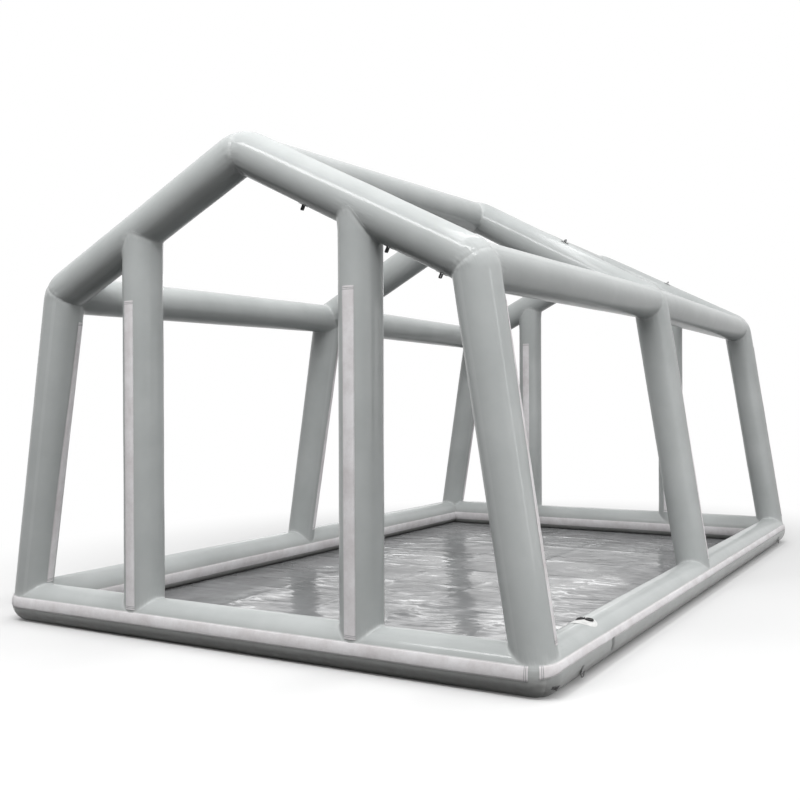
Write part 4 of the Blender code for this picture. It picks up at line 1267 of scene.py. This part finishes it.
def arc(across, up, radius, first, last, steps):
    """Points of an arc in the ring's own plane, about a middle that is set off from its bar's."""
    angles = [first + (last - first) * step / steps for step in range(steps + 1)]
    return [Vector((0, across + radius * math.cos(angle), up + radius * math.sin(angle))) for angle in angles]


ring_line = arc(ring_half - ring_corner, -ring_corner, ring_corner, math.pi / 2, 0, 8)
ring_line += arc(0, ring_half - ring_length, ring_half, 0, -math.pi, 32)
ring_line += arc(ring_corner - ring_half, -ring_corner, ring_corner, math.pi, math.pi / 2, 8)

for place, y in (("front", -lashing_y), ("rear", lashing_y)):
    for hand, sign in (("right", 1), ("left", -1)):
        path, bar_middle = strap_path(sign, y)
        strap = ribbon(f"ring_strap_{place}_{hand}", path, ALONG, strap_half_width, strap_thickness)
        finish_piece(strap, grey_webbing, "tent_frame", "webbing", f"lashing_tab_{place}_{hand}", smooth=50)
        d_ring = wire(f"steel_d_ring_{place}_{hand}", [bar_middle + point for point in ring_line],
                      ring_wire_radius, True, 5)
        finish_piece(d_ring, ring_steel, f"ring_{place}_{hand}", "ring_wire", f"lashing_ring_{place}_{hand}",
                     smooth=60)


# Tie loops
# Small loops of narrow dark webbing that the cover and the lamps are tied to. Both tails of a loop
# are welded flat on the tube, and the bight between them hangs free.

dark_webbing = webbing_finish("dark_webbing", (0.055, 0.055, 0.058), (0.13, 0.13, 0.132))
loop_half_width, loop_thickness, loop_round = 0.010, 0.0012, 0.0062
tail = (0.036, 0.026, 0.016, 0.009)


def tie_loop(name, tube, near, along, drop):
    tree = tree_of(tube)
    point, out = tree.find_nearest(near)[:2]

    def laid(distance):
        under, normal = tree.find_nearest(near + along * distance)[:2]
        return under + normal * loop_thickness

    path = [laid(-distance) for distance in tail]
    path += [point - along * 0.0058 + out * 0.0040, point - along * loop_round + out * drop * 0.5]
    for step in range(9):
        turn = math.pi * step / 8
        path.append(point + out * (drop - loop_round + loop_round * math.sin(turn))
                    - along * loop_round * math.cos(turn))
    path += [point + along * loop_round + out * drop * 0.5, point + along * 0.0058 + out * 0.0040]
    path += [laid(distance) for distance in tail[::-1]]
    loop = ribbon(name, path, along.cross(out).normalized(), loop_half_width, loop_thickness)
    finish_piece(loop, dark_webbing, "tent_frame", "webbing", smooth=50)


up_front, up_middle, up_rear = (heading_between(*arch_points(place)[1:3])
                                for place in ("front", "middle", "rear"))
for name, node, near, along, drop in (
    ("tie_loop_gable", "rafter_front_right", (0.44, -3.23, 2.68), up_front, 0.034),
    ("tie_loop_post", "rafter_front_right", (1.02, -3.23, 2.39), up_front, 0.036),
    ("tie_loop_corner", "rafter_front_right", (1.36, -3.23, 2.22), up_front, 0.030),
    ("tie_loop_eave", "eave_front_right", (1.60, -3.03, 2.12), ALONG, 0.018),
    ("tie_loop_roof_middle", "rafter_middle_right", (0.86, -0.04, 2.86), up_middle, 0.028),
    ("tie_loop_roof_rear", "rafter_rear_right", (0.83, 3.19, 2.82), up_rear, 0.028),
    ("tie_loop_ground", "base_tube_right", (2.035, -3.262, 0.055), ALONG, 0.012),
):
    tie_loop(name, tubes[node], Vector(near), along, drop)


# Sewn tab
# A short tail of grey webbing, stitched under the lower edge of the outer hook strip beside the
# valve and welded to the tube below it, where the strip's two lengths meet.

tab_axis = Vector((base_half_width, -2.404, base_axis_height))
tab_half_width, tab_thickness = 0.020, 0.0014
right_tree = tree_of(base_right)
tab_path = []
for degrees, lift in ((80.1, 0.0041), (81.1, 0.0041), (82.1, 0.0031), (83.5, 0.0027), (85.0, 0.0018),
                      (88, 0.0015), (92, 0.0014), (96, 0.0014), (100, 0.0014), (104, 0.0016),
                      (109, 0.0024), (112, 0.0036)):
    out = Vector((math.sin(math.radians(degrees)), 0, math.cos(math.radians(degrees))))
    tab_path.append(right_tree.find_nearest(tab_axis + out * TUBE_RADIUS)[0] + out * lift)
tab = ribbon("sewn_tab", tab_path, ALONG, tab_half_width, tab_thickness)
finish_piece(tab, grey_webbing, "tent_frame", "webbing", smooth=50)
